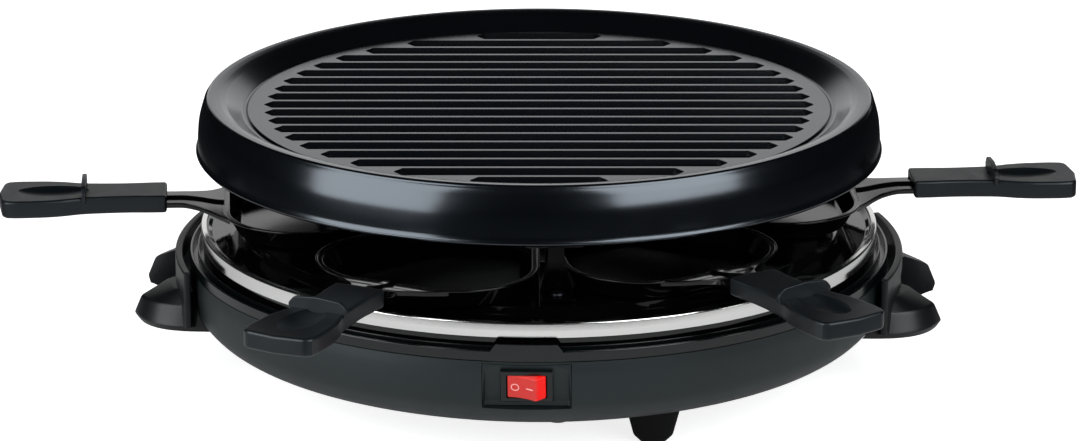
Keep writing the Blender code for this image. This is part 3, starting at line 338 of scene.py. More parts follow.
def tube(name, points, radius):
    """A round tube along points, made a mesh with closed ends."""
    deselect()
    bpy.ops.curve.primitive_bezier_curve_add()
    curve = named(name).data
    curve.splines.clear()
    line = curve.splines.new("POLY")
    line.points.add(len(points) - 1)
    for spot, point in zip(line.points, points):
        spot.co = (*point, 1)
    curve.dimensions = "3D"
    curve.bevel_depth = radius
    curve.bevel_resolution = 4
    curve.use_fill_caps = True
    bpy.ops.object.convert(target="MESH")
    return close_up(placed(bpy.context.object))


# Shader expressions
def binary(operation):
    """A Python operator that adds a math node."""
    return lambda wire, other: wire.math(operation, other)


class Wire:
    """One output of a shader node, used in Python expressions."""

    def __init__(self, tree, socket):
        self.tree = tree
        self.socket = socket

    def math(self, operation, *others):
        node = self.tree.nodes.new("ShaderNodeMath")
        node.operation = operation
        for slot, value in zip(node.inputs, (self, *others)):
            connect(self.tree, slot, value)
        return Wire(self.tree, node.outputs[0])

    __add__ = __radd__ = binary("ADD")
    __mul__ = __rmul__ = binary("MULTIPLY")
    __sub__ = binary("SUBTRACT")
    __truediv__ = binary("DIVIDE")
    __pow__ = binary("POWER")

    def __rsub__(self, other):
        return (self * -1) + other

    def __abs__(self):
        return self.math("ABSOLUTE")

    def ramp(self, low, high):
        """0 below low, 1 above high, smooth between."""
        part = (self - low) / (high - low)
        clamped = part.math("MAXIMUM", 0).math("MINIMUM", 1)
        return clamped * clamped * (3 - 2 * clamped)


def connect(tree, slot, value):
    if isinstance(value, Wire):
        tree.links.new(value.socket, slot)
    else:
        slot.default_value = value


def ray_kinds(tree):
    """Wires that are 1 for camera, glossy and transmission rays."""
    path = tree.nodes.new("ShaderNodeLightPath")
    return [Wire(tree, path.outputs[f"Is {name} Ray"]) for name in ("Camera", "Glossy", "Transmission")]


def axes(tree, coordinates):
    """The X, Y and Z of an output of the texture coordinates."""
    split = tree.nodes.new("ShaderNodeSeparateXYZ")
    tree.links.new(tree.nodes.new("ShaderNodeTexCoord").outputs[coordinates], split.inputs[0])
    return [Wire(tree, output) for output in split.outputs]


class Finish:
    """A material under construction, its nodes made by one method."""

    def __init__(self, name):
        self.material = bpy.data.materials.new(name)
        self.material.use_nodes = True
        self.tree = self.material.node_tree

    def node(self, kind, output=0, **values):
        node = self.tree.nodes.new("ShaderNode" + kind)
        for name, value in values.items():
            connect(self.tree, node.inputs[name], value)
        return Wire(self.tree, node.outputs[output])

    def noise(self, scale, detail=2, distortion=0, stretch=(1, 1, 1)):
        place = self.node("Mapping", Vector=self.node("TexCoord", "Object"), Scale=stretch)
        return self.node("TexNoise", Vector=place, Scale=scale, Detail=detail, Distortion=distortion)

    def blend(self, factor, first, second):
        node = self.tree.nodes.new("ShaderNodeMix")
        node.data_type = "RGBA"
        connect(self.tree, node.inputs[0], factor)
        for slot, value in ((node.inputs[6], first), (node.inputs[7], second)):
            connect(self.tree, slot, value if isinstance(value, Wire) else (*value, 1))
        return Wire(self.tree, node.outputs[2])

    def bump(self, height, distance, strength, over=None):
        below = {"Normal": over} if over else {}
        return self.node("Bump", Height=height, Distance=distance, Strength=strength, **below)

    def set(self, **values):
        shader = self.tree.nodes["Principled BSDF"]
        for name, value in values.items():
            if isinstance(value, tuple) and len(value) == 3:
                value = (*value, 1)
            connect(self.tree, shader.inputs[name.replace("_", " ")], value)
        return self.material


def tint(base, factor):
    return tuple(min(part * factor, 1) for part in base)


# Materials
def surface(name, tones, noises, roughness, swings, relief=(), specks=None, **fixed):
    """A material made of a few noises.

    The first noise blends the two tones. Swings are (noise, change of roughness), relief is (noise, distance,
    strength) from the lowest layer up, and specks are (noise, from, to, amount, tone).
    """
    made = Finish(name)
    grains = [made.noise(*noise) for noise in noises]
    body = made.blend(grains[0], *tones)
    if specks:
        index, low, high, amount, tone = specks
        body = made.blend(grains[index].ramp(low, high) * amount, body, tone)
    for index, swing in swings:
        roughness = roughness + (grains[index] - 0.5) * swing
    for index, distance, strength in relief:
        fixed["Normal"] = made.bump(grains[index], distance, strength, fixed.get("Normal"))
    if "Emission_Strength" in fixed:
        fixed["Emission_Color"] = body
    return made.set(Base_Color=body, Roughness=roughness, **fixed)


def moulded(name, base, roughness, grain, depth, specular=0.5, cast=(1, 1, 1)):
    """Spark-eroded plastic: fine pebbled grain, faint flow marks and handling marks."""
    return surface(name, (tint(base, 0.88), tint(base, 1.12)), ((18, 4), (grain, 2), (55, 5, 1.2)), roughness,
                   ((2, 0.14), (1, 0.1)), ((0, 0.0004, 0.12), (1, depth, 0.55)),
                   (1, 0.62, 0.78, 0.35, tint(base, 1.5)), Specular_IOR_Level=specular, Specular_Tint=cast)


def plate_coating(name, settings):
    """Two-layer non-stick coat on cast metal: blue-black, finely speckled, slightly wavy."""
    base = settings.coating
    return surface(name, (tint(base, 0.8), tint(base, 1.25)), ((26, 3), (1900, 2), (95, 2), (9, 5, 2)),
                   settings.sheen, ((3, 0.08), (1, 0.05)), ((1, 0.00002, 0.25), (2, 0.0001, 0.12)),
                   (1, 0.66, 0.8, 0.3, (0.008, 0.01, 0.014)), Specular_IOR_Level=1,
                   Specular_Tint=(0.8, 0.9, 1))


def glossy_coat(name, base, roughness, ripple, specular):
    """Fired enamel or hard non-stick: deep gloss with a slight orange-peel ripple."""
    return surface(name, (tint(base, 0.7), tint(base, 1.5)), ((14, 5, 1.5), (1500, 1), (210, 2)), roughness,
                   ((0, 0.06),), ((2, ripple, 0.16),), (1, 0.72, 0.8, 0.2, (0.012, 0.012, 0.013)),
                   Specular_IOR_Level=specular)


def drawn_metal(name, base, roughness, stretch):
    """Rolled or brushed metal: fine lines along the rolling direction and soft stains."""
    return surface(name, (tint(base, 0.93), tint(base, 1.04)), ((22, 4), (320, 3, 0, stretch)), roughness,
                   ((1, 0.1), (0, 0.05)), ((1, 0.00002, 0.3),), Metallic=1)


def fired_ceramic(name, base):
    """Unglazed insulating ceramic: chalky, faintly speckled and finely pitted."""
    return surface(name, (tint(base, 0.88), base), ((120, 3), (1300, 3)), 0.62, ((1, 0.2),),
                   ((1, 0.00006, 0.5),), (1, 0.64, 0.76, 0.6, tint(base, 0.55)))


def rubber(name):
    """Matt black rubber with a fine bloom."""
    return surface(name, ((0.0008, 0.0008, 0.0009), (0.0018, 0.0018, 0.002)), ((60, 4), (1700, 2)), 0.72,
                   ((1, 0.2),), ((1, 0.00006, 0.5),), Specular_IOR_Level=0.2)


def printed_mark(name, base):
    """Pale moulded-in mark."""
    return surface(name, (tint(base, 0.92), base), ((900, 2),), 0.45, ((0, 0.1),), Emission_Strength=0.25)


def lamp_glass(name):
    """Small neon lamp: pale orange glass with a faint glow."""
    return surface(name, ((0.85, 0.36, 0.14), (0.95, 0.52, 0.25)), ((500, 3),), 0.105, ((0, 0.05),),
                   Emission_Strength=0.3)


def wire_cover(name):
    """Heat-proof sleeving with a fine woven rib."""
    return surface(name, ((0.42, 0.44, 0.45), (0.6, 0.62, 0.63)), ((1500, 2, 0, (1, 1, 0.3)),), 0.6,
                   ((0, 0.2),), ((0, 0.00008, 0.5),))


def heated_steel(name):
    """Sheathed heating tube: dull steel with straw and blue heat tints along its run."""
    made = Finish(name)
    band = made.noise(16, 3)
    scale = made.noise(700, 3)
    warm = made.blend(band.ramp(0.4, 0.62), (0.2, 0.19, 0.18), (0.26, 0.19, 0.12))
    tinted = made.blend(band.ramp(0.6, 0.74) * 0.6, warm, (0.1, 0.12, 0.19))
    return made.set(Base_Color=tinted, Roughness=0.42 + (scale - 0.5) * 0.16, Metallic=1,
                    Normal=made.bump(scale, 0.00004, 0.4))


def rocker_plastic(name, base):
    """Clear red plastic that glows a little, more towards its on side, where its colour is painted darker as
    shade.
    """
    made = Finish(name)
    side = axes(made.tree, "Object")[0].ramp(0.0035, 0.006)
    streak = made.noise(160, 3)
    face = made.blend(streak, tint(base, 0.9), tint(base, 1.08))
    # Painted shade: towards the on side the base colour is painted darker and deeper red against the right
    # softbox's light on that end; the glow grows there too.
    return made.set(Base_Color=made.blend(side, face, (0.5, 0.008, 0.006)),
                    Roughness=0.2 + (streak - 0.5) * 0.08, Specular_IOR_Level=0.2,
                    Emission_Color=made.blend(side, (0.08, 0.006, 0.005), (0.5, 0.004, 0.003)),
                    Emission_Strength=1, Normal=made.bump(streak, 0.00005, 0.15))


FINISHES = {}


def finish(slot):
    """The material of a record slot, made once."""
    if slot not in FINISHES:
        scene = bpy.context.scene
        base, pans, switch = scene.grill_base, scene.grill_pans, scene.grill_switch
        maker, *values = {
            "housing_plastic": (moulded, base.housing, 0.46, 2200, 0.00006, 0.55, (0.84, 0.97, 1)),
            "handle_plastic": (moulded, base.handle, 0.38, 2600, 0.00003, 0.4),
            "grip_plastic": (moulded, pans.grip, 0.4, 2800, 0.00002, 0.5, (0.88, 0.95, 1)),
            "trim_plastic": (moulded, base.trim, 0.19, 3000, 0.00001),
            "switch_plastic": (moulded, base.trim, 0.3, 3200, 0.00002),
            "plate_coating": (plate_coating, scene.grill_plate),
            "pan_coating": (glossy_coat, pans.coating, 0.13, 0.0001, 0.4),
            "black_enamel": (glossy_coat, base.enamel, 0.06, 0.00014, 0.5),
            "black_steel": (glossy_coat, base.enamel, 0.16, 0.00008, 0.12),
            "chrome": (drawn_metal, (0.82, 0.815, 0.8), 0.13, (1, 1, 30)),
            "steel": (drawn_metal, (0.46, 0.46, 0.47), 0.32, (6, 1, 1)),
            "brass": (drawn_metal, (0.72, 0.54, 0.24), 0.28, (1, 6, 1)),
            # Steel painted near-black as shade, for the steel pieces that sit in shade under the plate.
            "blued_steel": (drawn_metal, (0.04, 0.042, 0.05), 0.38, (6, 1, 1)),
            "ceramic": (fired_ceramic, (0.72, 0.69, 0.62)),
            # Ceramic painted near-black as shade, for the terminal block that sits in shade under the plate.
            "dark_ceramic": (fired_ceramic, (0.03, 0.028, 0.026)),
            "rocker_red": (rocker_plastic, switch.red),
            "rocker_mark": (printed_mark, switch.mark[:]),
            "rubber": (rubber,),
            "lamp_glass": (lamp_glass,),
            "wire_cover": (wire_cover,),
            "heated_steel": (heated_steel,),
        }[slot]
        FINISHES[slot] = maker(slot, *values)
    return FINISHES[slot]


def dressed(piece, slot, *nodes, body="base", material=None, smooth=32):
    """Give a new piece its finish, its smooth shading and its place in the frame."""
    piece.data.materials.clear()
    piece.data.materials.append(finish(material or slot))
    only(piece)
    bpy.ops.object.shade_smooth_by_angle(angle=radians(smooth))
    modified(piece, "WEIGHTED_NORMAL", mode="FACE_AREA", weight=60, keep_sharp=True)
    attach(piece, body)
    if nodes:
        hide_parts(*nodes)


# Grill plate
SKIRT = ((0.0269, 0.9), (0.0132, 0.61), (0.0084, 0.36), (0.006, 0.092), (0, 0.05), (0.0072, 0))
PLATE_WALL = 0.0035
LIP_OUTSIDE = 0.0062
LIP_INSIDE = 0.0142
GUTTER_OUTSIDE = 0.0232
GUTTER_INSIDE = 0.0248
GUTTER_SINK = 0.001
FLOOR_DROP = 0.0069
UNDER_DROP = 0.0128
# Inset from the plate's radius, drop from its top, corner radius
PLATE_TOP = ((GUTTER_INSIDE + WALL, FLOOR_DROP), (GUTTER_INSIDE + GUTTER_SINK, FLOOR_DROP, 0.0006),
             (GUTTER_INSIDE, FLOOR_DROP + GUTTER_SINK, 0.0006), (GUTTER_OUTSIDE, FLOOR_DROP + GUTTER_SINK, 0.002),
             (LIP_INSIDE + 0.0008, 0.0018, 0.003), (LIP_INSIDE - 0.0018, 0.0007, 0.006),
             (LIP_INSIDE - 0.0048, 0.0002, 0.012), (LIP_OUTSIDE, 0, 0.0016),
             (LIP_OUTSIDE - WALL / 4, WALL / 2, 0.0022))
PLATE_UNDER = ((LIP_INSIDE, 2 * WALL, 0.002), (GUTTER_OUTSIDE + WALL / 4, UNDER_DROP, 0.002),
               (GUTTER_INSIDE + 4 * WALL, UNDER_DROP))
GROOVE_HALVES = (0.1336, 0.1326, 0.1301, 0.1265, 0.1207, 0.1128, 0.1023, 0.0878, 0.0671, 0.0317)
GROOVE_POINT = 0.0038
# Share of the groove's depth, half width, shortening of each end
GROOVE_LEVELS = ((-1, 0.0042, 0.0016), (-0.85, 0.005, 0.0009), (-0.12, 0.0057, 0.0002), (0, 0.006, 0),
                 (0.3, 0.006, 0))
PLATE_TURN = radians(1.9)


def plate_profile(radius):
    """Half section: flat top, gutter, lip, bulging skirt, hollow underside."""
    height = PLATE_TOP_Z - PLATE_FOOT_Z
    skirt = [(radius * (1 - drop), PLATE_FOOT_Z + height * rise) for drop, rise in SKIRT]
    top, under = ([(radius - inset, PLATE_TOP_Z - drop, *bend) for inset, drop, *bend in table]
                  for table in (PLATE_TOP, PLATE_UNDER))
    line = rounded([*top, skirt[0]])
    line += smooth_line(skirt[:4])[1:]
    line += rounded([skirt[3], (*skirt[4], 0.0007), skirt[5]])[1:]
    inside = [(r - PLATE_WALL, z, 0.003) for r, z in skirt[3:0:-1]]
    return line + rounded([skirt[5], (skirt[5][0] - PLATE_WALL / 2, PLATE_FOOT_Z, 0.0006), *inside, *under])[1:]


def groove(half_length, depth):
    """A straight groove with sloping walls and pointed ends, sunk below z = 0."""
    rings = []
    for level, half_width, draw in GROOVE_LEVELS:
        half, blunt, side = half_length - draw, half_width / 8, half_length - draw - GROOVE_POINT
        rings.append([(x, y, depth * level) for x, y in (
            (half, -blunt), (half, blunt), (side, half_width), (-side, half_width),
            (-half, blunt), (-half, -blunt), (-side, -half_width), (side, -half_width))])
    return lofted("groove", rings)


class GRILL_OT_plate(bpy.types.Operator):
    """Cast grill plate with straight grooves, a narrow gutter and a bulging skirt"""

    bl_idname = "grill.plate"
    bl_label = "Grill plate"

    def execute(self, context):
        values = context.scene.grill_plate
        plate = turned("grill_plate_cast", plate_profile(values.radius), 2 * FINE_STEPS)
        grooves = [placed(groove(GROOVE_HALVES[abs(index)], values.groove_depth),
                          at(0, index * values.groove_pitch, PLATE_TOP_Z - FLOOR_DROP))
                   for index in range(1 - len(GROOVE_HALVES), len(GROOVE_HALVES))]
        shaped(plate, placed(joined(grooves), at_angle(PLATE_TURN)))
        dressed(plate, "plate_coating", "grill_plate", body="plate", smooth=40)
        return {"FINISHED"}


# Base housing and bottom cover
BOWL = ((0.0023, 1), (0, 0.86), (0.0035, 0.66), (0.0129, 0.5), (0.0374, 0.37), (0.0643, 0.28),
        (0.0993, 0.205), (0.1694, 0.1), (0.2494, 0))
COVER_RADIUS = 0.112
COVER_LAP = 0.009
COVER_SCREW_RING = COVER_RADIUS - COVER_LAP / 2
COVER_SHEET = 0.0024
COVER_GROOVE = 0.0008
VENT_COUNT = 10
VENT_SIZE = (0.02, 0.004, 6 * WALL)
VENT_PLACE = 0.7
SCREW_SHAFT = 0.0017
SCREW_DEPTH = 0.014
STEM_RADIUS = 0.0035
BOSS_RADIUS = 0.005
PANEL_SIZE = (0.0406, 0.0219, 0.0024)
SWITCH_Z = 0.0439
SWITCH_INSET = 0.004
SWITCH_HOLE = 0.048
GLAND_Z = 0.04
GLAND_HOLE = 0.012
GLAND_NECK_RADIUS = 0.0058
FOOT_ANGLES = (-63.7, 56.3, 176.3)


def bowl_line(radius, offset=0.0):
    """Outer face of the bowl from its rim down to the edge of its floor."""
    return [(radius * (1 - drop) + offset, FOOT_HEIGHT + (RIM_Z - FOOT_HEIGHT) * rise) for drop, rise in BOWL]


def drawn_in(points, distance):
    """A downward outline moved inwards along its normals."""
    moved = []
    for index, (radius, z) in enumerate(points):
        before = Vector(points[max(index - 1, 0)])
        along = (Vector(points[min(index + 1, len(points) - 1)]) - before).normalized()
        moved.append((radius + along.y * distance, z - along.x * distance))
    return moved


def leg_angles():
    return [STACK_TURN - pi / 2 + tau * index / 3 for index in range(3)]


def switch_place(context):
    """Frame on the switch panel's face: X right, Y up the panel, Z straight out of it."""
    front = at(0, SWITCH_INSET - context.scene.grill_base.radius, SWITCH_Z)
    return front @ about("X", pi / 2 + context.scene.grill_switch.tilt)


def gland_place(context):
    return at(0, context.scene.grill_base.radius - WALL, GLAND_Z) @ about("X", -pi / 2)


class GRILL_OT_base(bpy.types.Operator):
    """Moulded bowl with its screw bosses, switch opening and cable opening, and its bottom cover"""

    bl_idname = "grill.base"
    bl_label = "Base housing"

    def execute(self, context):
        radius = context.scene.grill_base.radius
        outer = smooth_line(bowl_line(radius), 5)
        inner = drawn_in(outer, WALL)
        inner[0] = (inner[0][0], RIM_Z)
        opening = COVER_RADIUS - COVER_LAP
        profile = [*outer, (opening, FOOT_HEIGHT), (opening, FOOT_HEIGHT + WALL), *inner[::-1], outer[0]]
        bowl = turned("base_bowl", profile, 180)
        boss_top = PLATFORM_Z - SHEET - GAP
        shaped(bowl, joined([bore(BOSS_RADIUS, FOOT_HEIGHT + WALL / 2, boss_top, angle, LEG_SCREW_RING)
                             for angle in leg_angles()]), "UNION")
        through = (FOOT_HEIGHT - WALL, FOOT_HEIGHT + 2 * WALL)
        holes = []
        for angle in leg_angles():
            holes += [bore(SCREW_SHAFT + GAP, boss_top - SCREW_DEPTH, boss_top + WALL, angle, LEG_SCREW_RING),
                      bore(SCREW_SHAFT + GAP, *through, angle, COVER_SCREW_RING)]
        for degrees in FOOT_ANGLES:
            holes.append(bore(STEM_RADIUS + GAP, *through, radians(degrees), radius * FOOT_PLACE))
        neck = rod("hole", GLAND_NECK_RADIUS + GAP, -GLAND_HOLE, GLAND_HOLE)
        holes.append(placed(neck, gland_place(context)))
        panel = (PANEL_SIZE[0] + 2 * GAP, PANEL_SIZE[1] + 2 * GAP, SWITCH_HOLE)
        holes.append(placed(block("hole", panel), switch_place(context)))
        shaped(bowl, joined(holes))
        dressed(bowl, "housing_plastic", "base_housing")
        self.cover()
        return {"FINISHED"}

    def cover(self):
        """Flat cover with a rounded edge, radial air slots, a groove round its middle and screw holes."""
        low = FOOT_HEIGHT - GAP - COVER_SHEET
        high, bend = low + COVER_SHEET, COVER_GROOVE / 2
        disc = turned("bottom_cover_disc", rounded([
            (0, low), (0.03, low, bend), (0.031, low + COVER_GROOVE, bend), (0.033, low + COVER_GROOVE, bend),
            (0.034, low, bend), (COVER_RADIUS, low, 0.001), (COVER_RADIUS, high, 0.0003), (0, high)]), 128)
        slots = [placed(block("slot", VENT_SIZE, round_edges=0.0015),
                        at_angle(tau * (index + 0.5) / VENT_COUNT, COVER_RADIUS * VENT_PLACE, FOOT_HEIGHT))
                 for index in range(VENT_COUNT)]
        slots += [bore(SCREW_SHAFT + GAP, low - WALL, high + WALL, angle, COVER_SCREW_RING)
                  for angle in leg_angles()]
        shaped(disc, joined(slots))
        dressed(disc, "housing_plastic", "bottom_cover")


# Trim collar
COLLAR_FOOT = RIM_Z + GAP
COLLAR_LIP = 0.005
COLLAR_RIB = 0.0062
COLLAR_CHANNEL = 0.0015
COLLAR_SPIGOT = 0.0011
COLLAR_INSET = 0.0004
COLLAR_SHOULDER = 0.0042
COLLAR_INSIDE = 0.0112
COLLAR_WALLS = (0.0014, 0.0008)
PAD_HALVES = (0.0175, 0.0165, 0.0142)
PAD_HEIGHT = 0.008


class GRILL_OT_collar(bpy.types.Operator):
    """Stepped collar on the bowl's rim, with a raised pad above the switch"""

    bl_idname = "grill.collar"
    bl_label = "Trim collar"

    def execute(self, context):
        radius = context.scene.grill_base.radius
        foot, spigot = COLLAR_FOOT, COLLAR_FOOT - COLLAR_SPIGOT
        step, top, gap = foot + COLLAR_LIP, foot + COLLAR_RIB, foot + COLLAR_CHANNEL
        wall_inside = radius * (1 - BOWL[0][0]) - WALL - HOLE_PLAY
        seat = radius - SKIRT_INSET + HOLE_PLAY
        outside, shoulder, inside = radius - COLLAR_INSET, radius - COLLAR_SHOULDER, radius - COLLAR_INSIDE
        lip, rib = outside - COLLAR_WALLS[0], shoulder - COLLAR_WALLS[1]
        line = rounded([(seat, gap), (rib, gap, 0.0003), (rib, top, 0.0003), (shoulder, top, 0.0003),
                        (shoulder, gap, 0.0002), (lip, gap, 0.0002), (lip, step, 0.0006),
                        (outside, step, 0.0006), (outside, foot, 0.0003), (wall_inside, foot),
                        (wall_inside, spigot), (inside, spigot), (inside, LEDGE_Z), (seat, LEDGE_Z), (seat, gap)])
        collar = turned("collar_ring", line, 240)
        high = foot + PAD_HEIGHT
        pad = turned("pad", [(lip, foot), (outside, foot), (outside, high), (lip, high), (lip, foot)], 480)
        right = list(zip(PAD_HALVES, (-WALL, step - foot, PAD_HEIGHT), (0, 0.002, 0.001)))
        left = [(-half, z, bend) for half, z, bend in reversed(right)]
        outline = rounded([(0, -WALL), right[0][:2], *right[1:], *left[:-1], left[-1][:2], (0, -WALL)])[:-1]
        front = at(0, -outside, foot) @ about("X", pi / 2)
        shaped(pad, placed(prism("outline", outline, -0.01, 0.01), front), "INTERSECT")
        shaped(collar, softened(pad, 0.0005, 3, 50), "UNION")
        dressed(collar, "trim_plastic", "trim_collar")
        return {"FINISHED"}


# Side handles
# Reach, half span and height of the tab's outline, from its foot up
TAB = ((0.197, 0.0505, 0.0287), (0.199, 0.0525, 0.0317), (0.196, 0.0495, 0.041), (0.182, 0.045, 0.047))
TAB_ROUNDNESS = 0.66
TAB_STEPS = 88
HANDLE_INSET = 0.0142
CRESCENT_REACH = 0.0069
CRESCENT_WALL = 0.0036
CRESCENT_RISE = 0.0046
CRESCENT_HALF_TURN = radians(18.5)
SCALLOP_RADIUS = 0.04
SCALLOP_PLACE = 0.0545
SCALLOP_TILT = radians(33)
ENVELOPE_TOP_Z = 0.0635


def bowl_envelope(radius):
    """Solid a gap wider than the bowl and its collar."""
    line = [(0, ENVELOPE_TOP_Z), (radius - COLLAR_INSET + GAP, ENVELOPE_TOP_Z)]
    line += smooth_line(bowl_line(radius, GAP), 5)[:-1]
    line += [(radius * (1 - BOWL[-1][0]) + GAP, FOOT_HEIGHT - GAP), (0, FOOT_HEIGHT - GAP)]
    return turned("envelope", line, 180)


def half_span_at(z):
    """Half span of the tab at a height, read between the table's heights."""
    for (_reach, near, low), (_reach, far, high) in zip(TAB, TAB[1:]):
        if z <= high:
            return near + (far - near) * (z - low) / (high - low)
    return TAB[-1][1]


def tab_ring(root, reach, z):
    half_span = half_span_at(z)
    points = [(root, -half_span, z)]
    for index in range(1, TAB_STEPS):
        turn = pi * (index / TAB_STEPS - 0.5)
        across = copysign(abs(sin(turn)) ** TAB_ROUNDNESS, turn)
        out = abs(cos(turn)) ** TAB_ROUNDNESS
        points.append((root + (reach - root) * out, half_span * across, z))
    return points + [(root, half_span, z)]


class GRILL_OT_side_handles(bpy.types.Operator):
    """Carrying handles: a rounded tab hollowed for the fingers and an upright crescent wall"""

    bl_idname = "grill.side_handles"
    bl_label = "Side handles"

    def execute(self, context):
        radius = context.scene.grill_base.radius
        root = radius - HANDLE_INSET
        corners = [(reach, z) for reach, _span, z in TAB]
        section = rounded([corners[0], (*corners[1], 0.0022), (*corners[2], 0.003), corners[3]])
        tab = lofted("handle_tab", [tab_ring(root, reach, z) for reach, z in section])
        outline = arc(radius + CRESCENT_REACH, -CRESCENT_HALF_TURN, CRESCENT_HALF_TURN, 30)
        outline += arc(radius + CRESCENT_REACH - CRESCENT_WALL, CRESCENT_HALF_TURN, -CRESCENT_HALF_TURN, 30)
        wall = softened(prism("crescent", outline, corners[1][1], RIM_Z + CRESCENT_RISE), 0.001, 3, 50)
        shaped(tab, wall, "UNION")
        hollow = rod("scallop", SCALLOP_RADIUS, -SCALLOP_RADIUS, SCALLOP_RADIUS, steps=128)
        place = at(radius + SCALLOP_PLACE, 0, (corners[1][1] + corners[2][1]) / 2)
        shaped(tab, placed(hollow, place @ about("Y", -SCALLOP_TILT)))
        softened(tab, 0.0012, 3, 40)
        shaped(tab, bowl_envelope(radius))
        left = copied(tab, "side_handle_moulding_left", about("Z", pi))
        dressed(named("side_handle_moulding_right", tab), "handle_plastic", "side_handle_right")
        dressed(left, "handle_plastic", "side_handle_left")
        return {"FINISHED"}


# Reflector tray and chrome ring
TRAY_FLOOR_Z = 0.07
PLATFORM_OUTSIDE = 0.142
PLATFORM_INSIDE = 0.0724
TRAY_RAMP = 0.004
TRAY_WALL_INSET = 0.0095
CONDUIT_RADIUS = 0.0045
ELEMENT_RING = 0.11
RING_SHEET = 0.0008
RING_BAND = 0.0074
RING_HOOK = 0.002


class GRILL_OT_tray(bpy.types.Operator):
    """Enamelled reflector tray with a raised platform for the pans, and the chrome band round it"""

    bl_idname = "grill.tray"
    bl_label = "Reflector tray"

    def execute(self, context):
        radius = context.scene.grill_base.radius
        skirt, wall = radius - SKIRT_INSET, radius - TRAY_WALL_INSET
        low, under, ledge = TRAY_FLOOR_Z, TRAY_FLOOR_Z - SHEET, LEDGE_Z + GAP
        ramp_in, ramp_out = PLATFORM_INSIDE - TRAY_RAMP, PLATFORM_OUTSIDE + TRAY_RAMP
        tray = turned("tray_pressing", rounded([
            (0, low), (ramp_in, low, 0.002), (PLATFORM_INSIDE, PLATFORM_Z, 0.002),
            (PLATFORM_OUTSIDE, PLATFORM_Z, 0.002), (ramp_out, low, 0.0024), (wall - TRAY_RAMP / 2, low, 0.001),
            (wall, TRAY_RIM_Z, 0.0007), (skirt, TRAY_RIM_Z, 0.0007), (skirt, ledge, 0.0003),
            (skirt - SHEET, ledge, 0.0003), (skirt - SHEET, under, 0.0006), (ramp_out, under, 0.002),
            (PLATFORM_OUTSIDE, PLATFORM_Z - SHEET, 0.002), (PLATFORM_INSIDE, PLATFORM_Z - SHEET, 0.002),
            (ramp_in, under, 0.002), (0, under)]), 2 * FINE_STEPS)
        through = (TRAY_FLOOR_Z - WALL, PLATFORM_Z + WALL)
        holes = [bore(SCREW_SHAFT + GAP, *through, angle, LEG_SCREW_RING) for angle in leg_angles()]
        holes.append(bore(CONDUIT_RADIUS + GAP, *through, leg_angles()[0], ELEMENT_RING))
        shaped(tray, joined(holes))
        dressed(tray, "black_enamel", "reflector_tray")
        inner = skirt + GAP
        outer, hook = inner + RING_SHEET, inner - RING_HOOK
        low = TRAY_RIM_Z + GAP
        top, foot = low + RING_SHEET, low + RING_SHEET - RING_BAND
        middle = (foot + low) / 2
        band = turned("chrome_band", rounded([
            (inner, middle), (inner, foot, 0.0002), (outer - 0.0001, foot, 0.0003), (outer, middle, 0.02),
            (outer - 0.0001, top, 0.0009), (hook, top, 0.0003), (hook, low, 0.0003), (inner, low, 0.0001),
            (inner, middle)]), 2 * FINE_STEPS)
        dressed(band, "chrome", "chrome_ring")
        return {"FINISHED"}


# Pans and their grips
PAN_COUNT = 6
PAN_INNER_SHARE = 0.304
PAN_INNER_HALF_SHARE = 0.158
PAN_CORNER_SHARE = 0.25
PAN_SIDE_ANGLE = radians(26.5)
PAN_FLANGE = 0.0028
PAN_FOOT = 0.008
PAN_PULLED_OUT = {1: 0.002, 5: 0.0027, 6: -0.006}
GRIP_SET_BACK = 0.027
GRIP_THICKNESS = 0.0086
GRIP_Z = 0.0868
GRIP_TOP_Z = GRIP_Z + GRIP_THICKNESS / 2
# Share of the grip's length, width there
GRIP_STATIONS = ((0, 0.0252), (0.1, 0.025), (0.22, 0.024), (0.36, 0.0246), (0.5, 0.0268), (0.6, 0.0318),
                 (0.7, 0.0349), (0.8, 0.0358), (0.88, 0.036), (0.94, 0.0346))
# Distance from the pan's edge, width, height of the arm's top
ARM_STATIONS = ((-0.008, 0.064, 0.0838), (-0.0035, 0.059, 0.0838), (0, 0.05, 0.084), (0.003, 0.0425, 0.0843),
                (0.0065, 0.0345, 0.0849), (0.01, 0.0285, 0.0856), (0.014, 0.024, 0.0862),
                (0.0186, 0.021, 0.0867), (0.023, 0.0205, 0.0868))
ARM_INSERT = 0.026
ARM_SHEET = 0.0014
ARM_FOLD = 0.0026
RIB_RISE = 0.0013
RIB_WIDTH = 0.007
FIN_PLACE = 0.04
FIN_WIDTH = 0.03
FIN_RISE = 0.0062
FIN_SHEET = 0.0022


def pan_ring(reach, inset, z):
    """Rounded fan outline of a pan along +X, drawn in by an inset."""
    inner_end = reach * PAN_INNER_SHARE
    slope = tan(PAN_SIDE_ANGLE)
    side = reach * PAN_INNER_HALF_SHARE - inset / cos(PAN_SIDE_ANGLE)
    near, far = inner_end + inset, reach - inset
    half = rounded([(near, 0), (near, -side - inset * slope, reach / 10 - inset),
                    (far, -side - (far - inner_end) * slope, reach * PAN_CORNER_SHARE - inset), (far, 0)], 5)
    return [(x, y, z) for x, y in half] + [(x, -y, z) for x, y in half[-2:0:-1]]


def pan_dish(reach):
    floor, rim = PAN_FLOOR_Z, PAN_RIM_Z
    line = rounded([(0.011, floor), (PAN_FOOT - 0.0005, floor, 0.0022), (PAN_FLANGE - 0.0005, rim - SHEET, 0.0008),
                    (0, rim - SHEET, 0.0003), (0, rim, 0.0004), (0.0009, rim, 0.0003),
                    (0.0012, rim - 0.0004, 0.0002), (PAN_FLANGE + 0.0005, rim - 0.0004, 0.0007),
                    (PAN_FOOT + 0.0005, floor + SHEET, 0.0026), (0.012, floor + SHEET)])
    return lofted("pan_dish", [pan_ring(reach, inset, z) for inset, z in line])


